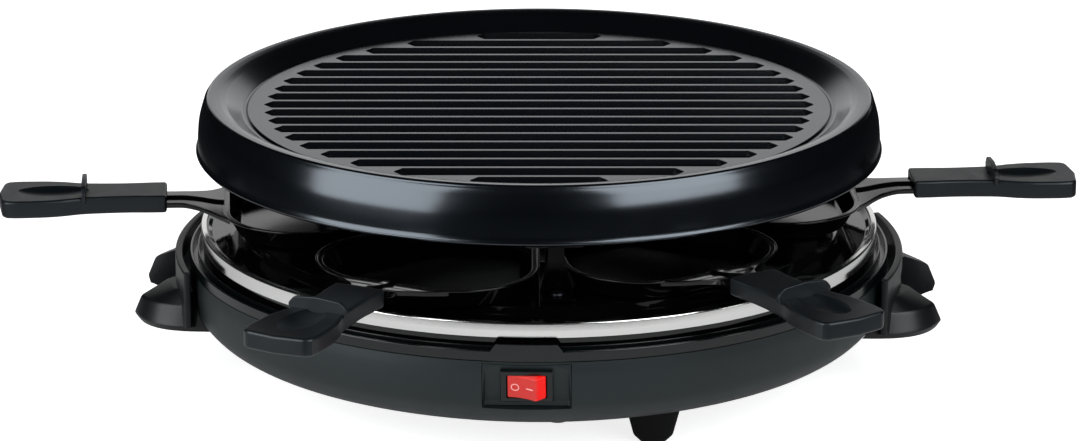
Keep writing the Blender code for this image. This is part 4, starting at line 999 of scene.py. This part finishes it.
def arm_section(x, width, top):
    """Section of the arm: folded edges, flat shoulders and a middle rib, then back along its underside."""
    half, rib, edge = width / 2, RIB_WIDTH / 2, width / 2 - ARM_SHEET
    over = ((half, -ARM_FOLD), (half, 0), (rib, 0), (rib / 2, RIB_RISE))
    under = ((edge, -ARM_FOLD), (edge, -ARM_SHEET))
    line = [(-y, z) for y, z in over] + [*over[::-1], *under] + [(-y, z) for y, z in under[::-1]]
    return [(x, y, top + z) for y, z in line]


def pan_arm(reach):
    """Pressed arm with folded edges and a middle rib, flaring into the pan's rim."""
    stations = smooth_line([(reach + out, width, top) for out, width, top in ARM_STATIONS], 3)
    stations.append((reach + GRIP_SET_BACK + ARM_INSERT, *stations[-1][1:]))
    arm = softened(lofted("pan_arm", [arm_section(*station) for station in stations]), 0.00035, 2, 30)
    return shaped(arm, lofted("bowl", [pan_ring(reach, 0.0008, z) for z in (PAN_FLOOR_Z, PAN_RIM_Z + PAN_FOOT)]))


def grip_body(start, span):
    stations = [(start + span * part, width / 2) for part, width in smooth_line(GRIP_STATIONS, 3)]
    tip = start + span
    ending = rounded([stations[-1], (tip - 0.0026, stations[-1][1] - 0.0022, 0.005), (tip - 0.0008, 0)])
    side = stations + ending[1:]
    outline = side + [(x, -y) for x, y in side[-2::-1]]
    return softened(prism("grip", outline[::-1], GRIP_TOP_Z - GRIP_THICKNESS, GRIP_TOP_Z), 0.0014, 4, 50)


def grip_fin(start):
    shoulder, half = FIN_RISE / 2, FIN_WIDTH / 2
    corners = rounded([(0, -shoulder), (half - shoulder / 2, -shoulder, 0.0012), (half, shoulder / 2, 0.0022),
                       (half - shoulder, FIN_RISE - shoulder / 3, 0.004), (0, FIN_RISE)])
    outline = corners + [(-x, z) for x, z in corners[-2:0:-1]]
    fin = softened(prism("fin", outline, -FIN_SHEET / 2, FIN_SHEET / 2), 0.0005, 3, 50)
    return placed(fin, Matrix(((0, 0, 1, start + FIN_PLACE), (1, 0, 0, 0), (0, 1, 0, GRIP_TOP_Z), (0, 0, 0, 1))))


def grip_hollow(start):
    """Leaf-shaped thumb recess that starts at the fin."""
    deselect()
    place = (start + FIN_PLACE + 0.015, 0, GRIP_TOP_Z + 0.0012)
    bpy.ops.mesh.primitive_uv_sphere_add(segments=64, ring_count=32, radius=1, location=place)
    tool = named("thumb")
    tool.scale = (0.0185, 0.0092, 0.0034)
    return placed(tool)


def grip_socket(start):
    size = (ARM_INSERT + GAP + WALL, ARM_STATIONS[-1][1] + 2 * GAP, ARM_FOLD + RIB_RISE + 2 * GAP)
    return block("socket", size, (start + (ARM_INSERT + GAP - WALL) / 2, 0, GRIP_Z + (RIB_RISE - ARM_FOLD) / 2))


class GRILL_OT_pans(bpy.types.Operator):
    """Six fan-shaped pans with pressed arms, and their moulded grips"""

    bl_idname = "grill.pans"
    bl_label = "Pans and grips"

    def execute(self, context):
        values = context.scene.grill_pans
        start = values.reach + GRIP_SET_BACK
        pan = shaped(pan_dish(values.reach), pan_arm(values.reach), "UNION")
        grip = shaped(grip_body(start, values.grip_length), grip_hollow(start))
        shaped(grip, grip_fin(start), "UNION")
        shaped(grip, grip_socket(start))
        for number in range(1, PAN_COUNT + 1):
            angle = STACK_TURN + tau * (number - 1) / PAN_COUNT
            place, body = at_angle(angle, PAN_PULLED_OUT.get(number, 0)), f"pan_set_{number}"
            dressed(copied(pan, f"pan_pressing_{number}", place), "pan_coating", f"pan_{number}", body=body)
            dressed(copied(grip, f"grip_moulding_{number}", place), "grip_plastic", f"pan_grip_{number}",
                    body=body)
        bpy.data.objects.remove(pan)
        bpy.data.objects.remove(grip)
        return {"FINISHED"}


# Legs and their screws
LEG_SHEET = 0.0015
LEG_FOOT = 0.015
LEG_TOP = 0.0088
# Height over the leg's foot, width there
LEG_WIDTHS = ((0, 0.015), (0.014, 0.0085), (0.025, 0.0074), (0.04, 0.0066), (0.05, 0.0062))
LEG_SCREW_TURN = 0.7
COVER_SCREW_TURN = 0.9
SCREW_HEAD = 0.0032
SCREW_RISE = 0.0016
SCREW_SLOT = (0.0034, 0.0008)


def screw(shaft_end, head_z, up):
    """Pan-head screw with a cross recess, its head on top or underneath."""
    rise = SCREW_RISE * up
    made = turned("screw", [
        (0, head_z + rise), (SCREW_HEAD * 0.55, head_z + rise * 0.94), (SCREW_HEAD * 0.86, head_z + rise * 0.66),
        (SCREW_HEAD, head_z + rise * 0.22), (SCREW_HEAD, head_z), (SCREW_SHAFT, head_z),
        (SCREW_SHAFT, shaft_end), (0, shaft_end)], SMALL_STEPS)
    for size in (SCREW_SLOT, SCREW_SLOT[::-1]):
        shaped(made, block("slot", (*size, SCREW_RISE), (0, 0, head_z + rise), 0.0001))
    return made


def leg_ring(x_first, z_first, x_second, z_second, width):
    side = width / 2
    return [(x_first, -side, z_first), (x_first, side, z_first), (x_second, side, z_second),
            (x_second, -side, z_second)]


class GRILL_OT_legs(bpy.types.Operator):
    """Three bent and tapered legs that carry the heater and the plate, with their screws"""

    bl_idname = "grill.legs"
    bl_label = "Legs"

    def execute(self, context):
        half = LEG_SHEET / 2
        foot_z = PLATFORM_Z + GAP + half
        low, high, top = foot_z - half, foot_z + half, LEG_TOP_Z - half
        inner, outer = LEG_RING - half, LEG_RING + half
        toe, reach = LEG_RING + LEG_FOOT, LEG_RING + LEG_TOP
        rows = [(toe, low, toe, high, 0.015), (toe - 0.0012, low, toe - 0.0012, high, 0.017),
                (inner + 0.0012, low, outer + 0.0012, high, 0.0156),
                (inner + 0.0003, low + 0.0003, outer + 0.0006, high + 0.0006, 0.0153)]
        rows += [(inner, foot_z + height, outer, foot_z + height, width)
                 for height, width in smooth_line(LEG_WIDTHS, 2)[1:]]
        rows += [(inner, top + half, outer, top - half, 0.0064), (reach, top + half, reach, top - half, 0.015)]
        leg = softened(lofted("leg", [leg_ring(*row) for row in rows]), 0.0003, 2, 40)
        shaped(leg, bore(SCREW_SHAFT + GAP, foot_z - LEG_SHEET, foot_z + 2 * LEG_SHEET, 0, LEG_SCREW_RING))
        fixing = screw(PLATFORM_Z - SCREW_DEPTH + WALL, PLATFORM_Z + 2 * GAP + LEG_SHEET, 1)
        cover_fixing = screw(FOOT_HEIGHT + 2 * WALL, FOOT_HEIGHT - 2 * GAP - COVER_SHEET, -1)
        for number, angle in enumerate(leg_angles(), start=1):
            dressed(copied(leg, f"leg_strip_{number}", at_angle(angle)), "black_steel", f"support_leg_{number}")
            place = at_angle(angle, LEG_SCREW_RING) @ about("Z", number * LEG_SCREW_TURN)
            # The leg screws under the plate take the steel painted dark as shade.
            dressed(copied(fixing, f"leg_fixing_{number}", place), "steel", f"leg_screw_{number}",
                    material="blued_steel")
        for number, angle in enumerate(leg_angles(), start=1):
            place = at_angle(angle, COVER_SCREW_RING) @ about("Z", number * COVER_SCREW_TURN)
            dressed(copied(cover_fixing, f"cover_fixing_{number}", place), "steel", f"cover_screw_{number}")
        for piece in (leg, fixing, cover_fixing):
            bpy.data.objects.remove(piece)
        return {"FINISHED"}


# Heating element on its frame
FRAME_TOP_Z = 0.11
FRAME_SHEET = 0.0015
FRAME_WIDTH = 0.015
ELEMENT_Z = 0.117
ELEMENT_TUBE = 0.00325
ELEMENT_SPREAD = 0.0085
ELEMENT_BEND = 0.005
ELEMENT_FOOT_Z = 0.0993
ELEMENT_STEPS = 96


class GRILL_OT_heater(bpy.types.Operator):
    """Heating tube bent to almost a full turn, on its flat ring"""

    bl_idname = "grill.heater"
    bl_label = "Heater"

    def execute(self, context):
        start = leg_angles()[0]
        spread, bend = asin(ELEMENT_SPREAD / ELEMENT_RING), ELEMENT_BEND / ELEMENT_RING
        outer = (LEG_RING - LEG_SHEET / 2 - GAP) * cos(radians(5))
        inner = LEG_RING - LEG_SHEET / 2 - GAP - FRAME_WIDTH
        low, high = FRAME_TOP_Z - FRAME_SHEET, FRAME_TOP_Z
        middle = ((inner + outer) / 2, high)
        ring = turned("heater_ring", rounded([middle, (outer, high, 0.0004), (outer, low, 0.0004),
                                              (inner, low, 0.0004), (inner, high, 0.0004), middle]))
        shaped(ring, joined([bore(ELEMENT_TUBE + HOLE_PLAY, low - WALL, high + WALL, start + turn, ELEMENT_RING)
                             for turn in (-spread, spread)]))
        # The frame under the plate's edge takes the steel painted dark as shade.
        dressed(ring, "steel", "heater_frame", material="blued_steel")
        rise = [(spread, ELEMENT_FOOT_Z)]
        for step in range(7):
            swing = radians(15 * step)
            rise.append((spread + bend * (1 - cos(swing)), ELEMENT_Z - ELEMENT_BEND * (1 - sin(swing))))
        sweep = tau - 2 * (spread + bend)
        places = rise + [(spread + bend + sweep * step / ELEMENT_STEPS, ELEMENT_Z)
                         for step in range(1, ELEMENT_STEPS)] + [(tau - turn, z) for turn, z in reversed(rise)]
        points = [at_angle(start + turn, ELEMENT_RING, z).translation for turn, z in places]
        dressed(tube("heating_tube", points, ELEMENT_TUBE), "steel", "heating_element",
                material="heated_steel", smooth=60)
        return {"FINISHED"}


# Rocker switch
BEZEL_SIZE = (0.0242, 0.0176, 0.0016)
BOX_SIZE = (0.0216, 0.0152, 0.016)
POCKET_SIZE = (0.0188, 0.0132, 0.0088)
ROCKER_HALF = 0.0088
ROCKER_WIDTH = 0.0124
ROCKER_THROW = radians(20)
ROCKER_FACE = ((-ROCKER_HALF, 0.0016), (-0.004, 0.00135), (0.001, 0.0017), (0.0048, 0.0027))
MARK_RISE = 0.00012
RING_RADII = (0.0015, 0.00198)
PANEL_REACH = 0.01
# Height over the panel, margin at each side, margin below
PANEL_SLOPES = ((0, 0.001, 0.0024), (0.0016, 0.0006, -0.0004), (PANEL_REACH, -0.0016, -0.008))


class GRILL_OT_switch(bpy.types.Operator):
    """Switch panel, switch housing with its bezel, and the red rocker with two generic marks"""

    bl_idname = "grill.switch"
    bl_label = "Rocker switch"

    def execute(self, context):
        place = switch_place(context)
        panel = self.panel(context.scene.grill_base.radius, place)
        opening = block("opening", (BOX_SIZE[0] + 2 * GAP, BOX_SIZE[1] + 2 * GAP, 4 * PANEL_SIZE[2]))
        dressed(shaped(panel, placed(opening, place)), "housing_plastic", "switch_panel")
        depth = BOX_SIZE[2] + GAP + BEZEL_SIZE[2] / 2
        body = block("switch_case", (*BOX_SIZE[:2], depth), (0, 0, depth / 2 - BOX_SIZE[2]), 0.0002)
        shaped(body, block("bezel", BEZEL_SIZE, (0, 0, GAP + BEZEL_SIZE[2] / 2), 0.0005), "UNION")
        shaped(body, block("pocket", (*POCKET_SIZE[:2], 2 * POCKET_SIZE[2]), round_edges=0.0005))
        dressed(placed(body, place), "switch_plastic", "switch_body")
        hinge = place @ at(z=BEZEL_SIZE[2]) @ about("Y", -ROCKER_THROW / 2)
        outline = [(-0.005, -0.0046), (-0.0082, -0.002), *smooth_line(ROCKER_FACE, 4), (ROCKER_HALF, -0.0012),
                   (0.0084, -0.0022), (0.005, -0.0046)]
        rocker = softened(prism("rocker_cap", outline, -ROCKER_WIDTH / 2, ROCKER_WIDTH / 2), 0.0008, 4, 30)
        stand = Matrix(((1, 0, 0, 0), (0, 0, -1, 0), (0, 1, 0, 0), (0, 0, 0, 1)))
        dressed(placed(rocker, hinge @ stand), "rocker_red", "rocker_button", body="rocker")
        near, far = RING_RADII
        ring = turned("mark", [(near, 0), (near, MARK_RISE), (far, MARK_RISE), (far, -MARK_RISE),
                               (near, -MARK_RISE), (near, 0)], 48)
        placed(ring, at(-0.0052, 0, 0.00135) @ about("Y", radians(1.5)))
        dash = block("dash", (0.0034, 0.0006, 2 * MARK_RISE), round_edges=0.00008)
        placed(dash, at(0.0017, 0, 0.00188) @ about("Y", radians(-13.5)))
        marks = named("rocker_marks", joined([ring, dash]))
        dressed(placed(marks, hinge), "rocker_red", body="rocker", material="rocker_mark")
        return {"FINISHED"}

    def panel(self, radius, place):
        """Panel sunk into the bowl, with a shallow border that comes up flush with the bowl's face."""
        width, height, depth = PANEL_SIZE
        size = (width, height, depth + PANEL_REACH)
        panel = placed(block("switch_plate", size, (0, 0, (PANEL_REACH - depth) / 2)), place)
        line = [(0, RIM_Z), *smooth_line(bowl_line(radius, -GAP / 3), 5), (0, FOOT_HEIGHT)]
        shaped(panel, turned("bowl_shape", line, 360), "INTERSECT")
        rings = []
        for rise, side, below in PANEL_SLOPES:
            half, foot, head = width / 2 - side, below - height / 2, height / 2 + 0.001
            corners = rounded([(0, foot), (half, foot, 0.0008), (half, head), (-half, head),
                               (-half, foot, 0.0008), (0, foot)])[:-1]
            rings.append([(x, y, rise) for x, y in corners])
        shaped(panel, placed(lofted("recess", rings), place))
        return softened(panel, 0.0002, 2, 35)


# Feet and cable opening
FOOT_TOP_RADIUS = 0.0122
FOOT_TIP_RADIUS = 0.0094
FOOT_RISE = 0.007
GLAND_FLANGE_RADIUS = 0.008
GLAND_BORE_RADIUS = 0.0038
GLAND_FLANGE = 0.004
GLAND_NECK = 0.012


class GRILL_OT_feet(bpy.types.Operator):
    """Rubber feet shaped to the bowl, and the rubber gland at the cable opening"""

    bl_idname = "grill.feet"
    bl_label = "Feet and gland"

    def execute(self, context):
        radius = context.scene.grill_base.radius
        slope = (FOOT_TOP_RADIUS - FOOT_TIP_RADIUS) / FOOT_HEIGHT
        top = FOOT_HEIGHT + FOOT_RISE
        line = rounded([(0, 0), (FOOT_TIP_RADIUS - 0.003, 0, 0.0008), (FOOT_TIP_RADIUS, 0.003, 0.0025),
                        (FOOT_TOP_RADIUS + slope * FOOT_RISE, top), (0, top)])
        for number, degrees in enumerate(FOOT_ANGLES, start=1):
            angle, ring = radians(degrees), radius * FOOT_PLACE
            pad = placed(turned(f"rubber_foot_{number}", line, 64), at_angle(angle, ring))
            shaped(pad, bowl_envelope(radius))
            shaped(pad, bore(STEM_RADIUS, FOOT_HEIGHT - 0.003, FOOT_HEIGHT + 0.0075, angle, ring), "UNION")
            dressed(pad, "rubber", f"foot_{number}")
        seat = WALL + GAP
        face, end = seat + GLAND_FLANGE, seat - GLAND_NECK
        line = rounded([(GLAND_BORE_RADIUS, 0), (GLAND_BORE_RADIUS, face, 0.0005),
                        (GLAND_FLANGE_RADIUS - 0.0008, face, 0.0008),
                        (GLAND_FLANGE_RADIUS, seat + GLAND_FLANGE / 2, 0.001), (GLAND_FLANGE_RADIUS, seat, 0.0004),
                        (GLAND_NECK_RADIUS, seat), (GLAND_NECK_RADIUS, end, 0.0005),
                        (GLAND_BORE_RADIUS, end, 0.0003), (GLAND_BORE_RADIUS, 0)])
        dressed(placed(turned("gland_moulding", line, 48), gland_place(context)), "rubber", "cord_gland")
        return {"FINISHED"}


# Solids that stay as they are
KEPT = {
    # The terminal block takes the ceramic painted dark as shade.
    "dark_ceramic": ("terminal_block",),
    "ceramic": ("terminal_strip",),
    "black_steel": ("wire_conduit",),
    "lamp_glass": ("switch_lamp",),
    "wire_cover": ("wire_live", "wire_neutral", "wire_switched"),
    "brass": ("switch_terminal_1", "switch_terminal_2", "switch_terminal_3"),
    "steel": ("element_clip_1", "element_clip_2", "element_clip_3"),
}


class GRILL_OT_inner_parts(bpy.types.Operator):
    """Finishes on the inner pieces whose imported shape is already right"""

    bl_idname = "grill.inner_parts"
    bl_label = "Inner parts"

    def execute(self, context):
        for material, nodes in KEPT.items():
            for node in nodes:
                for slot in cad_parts[node].material_slots:
                    slot.material = finish(material)
        return {"FINISHED"}


# Stage
CAMERA_TURN = 1.9
CAMERA_RISE = 17.08
CAMERA_TARGET = (0, 0, 0.0712)
CAMERA_LENS = 156.33
CAMERA_SHIFT = 1.1 / 1080
# Degrees to the right and up, distance, width, height
SOFTBOXES = {"left": (-52, 22, 1.5, 1.2, 1.35), "right": (47, 32, 1.5, 1.15, 1.05)}


def direction(degrees_right, degrees_up):
    """Unit vector away from the grill, with the switch's side at 0 degrees."""
    turn, rise = radians(degrees_right), radians(degrees_up)
    return Vector((sin(turn) * cos(rise), -cos(turn) * cos(rise), sin(rise)))


def aimed(name, data, away, place):
    """Put a light or camera into the scene, looking against a direction."""
    made = bpy.data.objects.new(name, data)
    made.location = place
    made.rotation_euler = away.to_track_quat("Z", "Y").to_euler()
    bpy.context.scene.collection.objects.link(made)
    return made


class GRILL_OT_stage(bpy.types.Operator):
    """Pale floor, two softboxes, white surroundings and the camera"""

    bl_idname = "grill.stage"
    bl_label = "Stage"

    def execute(self, context):
        scene, values = context.scene, context.scene.grill_stage
        deselect()
        bpy.ops.mesh.primitive_plane_add(size=16)
        floor = named("floor")
        floor.data.materials.append(self.floor_finish(values.floor[:]))
        for name, power in (("left", values.left_light), ("right", values.right_light)):
            self.softbox(name, power)
        self.surroundings(scene)
        self.camera(scene, values.distance)
        scene.view_settings.view_transform = "Standard"
        return {"FINISHED"}

    def floor_finish(self, tone):
        """Pale matt floor: white to the camera; to reflections it is pale round the grill and behind it and
        painted dark elsewhere, a painted pool of light.
        """
        made = Finish("stage_floor")
        grain = made.noise(900, 2)
        x, y, _z = axes(made.tree, "Object")
        reach = (x * x + y * y) ** 0.5
        camera, glossy, clear = ray_kinds(made.tree)
        # Painted pool of light: the mask is 1 near the grill and behind it, where reflections see the pale floor.
        near = (1 - reach.ramp(0.41, 0.49)).math("MAXIMUM", (y - abs(x) * 1.8).ramp(0.6, 1.2))
        body = made.blend(grain, tint(tone, 0.985), tone)
        pale = made.blend(camera, made.blend(glossy, (0.36, 0.36, 0.36), (0.72, 0.72, 0.72)), body)
        # Reflections outside the painted pool of light see a painted dark floor.
        return made.set(Base_Color=made.blend(glossy * (1 - near), pale, (0.015, 0.016, 0.018)), Roughness=0.9,
                        Specular_IOR_Level=0, Emission_Strength=1,
                        Emission_Color=made.blend(camera * 0.8 + clear * 0.5, (0, 0, 0), (1, 1, 1)))

    def softbox(self, name, power):
        right, up, distance, width, height = SOFTBOXES[name]
        light = bpy.data.lights.new(f"softbox_{name}", "AREA")
        light.shape = "RECTANGLE"
        light.size, light.size_y = width, height
        light.energy = power
        light.color = (0.97, 0.985, 1)
        away = direction(right, up)
        aimed(f"softbox_{name}", light, away, away * distance)

    def surroundings(self, scene):
        """White to the camera and, behind the grill, to reflections. Dim and even to everything else."""
        world = bpy.data.worlds.new("studio")
        world.use_nodes = True
        scene.world = world
        tree = world.node_tree
        camera, glossy, clear = ray_kinds(tree)
        x, y, z = axes(tree, "Generated")
        behind = (y / (x * x + y * y) ** 0.5).ramp(0.87, 0.95) * (1 - z.ramp(0.3, 0.4))
        others = (1 - camera) * (1 - glossy) * (1 - clear)
        background = tree.nodes["Background"]
        connect(tree, background.inputs["Strength"],
                camera + clear + glossy * (0.006 + behind * 0.88) + others * 0.3)
        background.inputs["Color"].default_value = (1, 1, 1, 1)

    def camera(self, scene, distance):
        view = bpy.data.cameras.new("camera")
        view.sensor_width = 36
        view.lens = CAMERA_LENS
        view.shift_x = CAMERA_SHIFT
        view.clip_start, view.clip_end = 0.05, 50
        back = direction(CAMERA_TURN, CAMERA_RISE)
        scene.camera = aimed("camera", view, back, Vector(CAMERA_TARGET) + back * distance)


SETTINGS = {"grill_plate": PlateSettings, "grill_pans": PanSettings, "grill_base": BaseSettings,
            "grill_switch": SwitchSettings, "grill_stage": StageSettings}
OPERATORS = (GRILL_OT_stage, GRILL_OT_plate, GRILL_OT_base, GRILL_OT_collar, GRILL_OT_side_handles,
             GRILL_OT_tray, GRILL_OT_pans, GRILL_OT_legs, GRILL_OT_heater, GRILL_OT_switch,
             GRILL_OT_feet, GRILL_OT_inner_parts)


class GRILL_PT_panel(bpy.types.Panel):
    """Lists the grill's settings and its pieces"""

    bl_idname = "GRILL_PT_panel"
    bl_label = "Raclette grill"
    bl_space_type = "VIEW_3D"
    bl_region_type = "UI"
    bl_category = "Grill"

    def draw(self, context):
        for name, group in SETTINGS.items():
            box = self.layout.box()
            for field in group.__annotations__:
                box.prop(getattr(context.scene, name), field)
        for operator in OPERATORS:
            self.layout.operator(operator.bl_idname)


def register():
    for group in (*SETTINGS.values(), *OPERATORS, GRILL_PT_panel):
        bpy.utils.register_class(group)
    for name, group in SETTINGS.items():
        setattr(bpy.types.Scene, name, PointerProperty(type=group))


def unregister():
    for name in SETTINGS:
        delattr(bpy.types.Scene, name)
    for group in (GRILL_PT_panel, *reversed(OPERATORS), *reversed(SETTINGS.values())):
        bpy.utils.unregister_class(group)


def main():
    register()
    for operator in OPERATORS:
        category, name = operator.bl_idname.split(".")
        getattr(getattr(bpy.ops, category), name)()


if __name__ == "__main__":
    main()
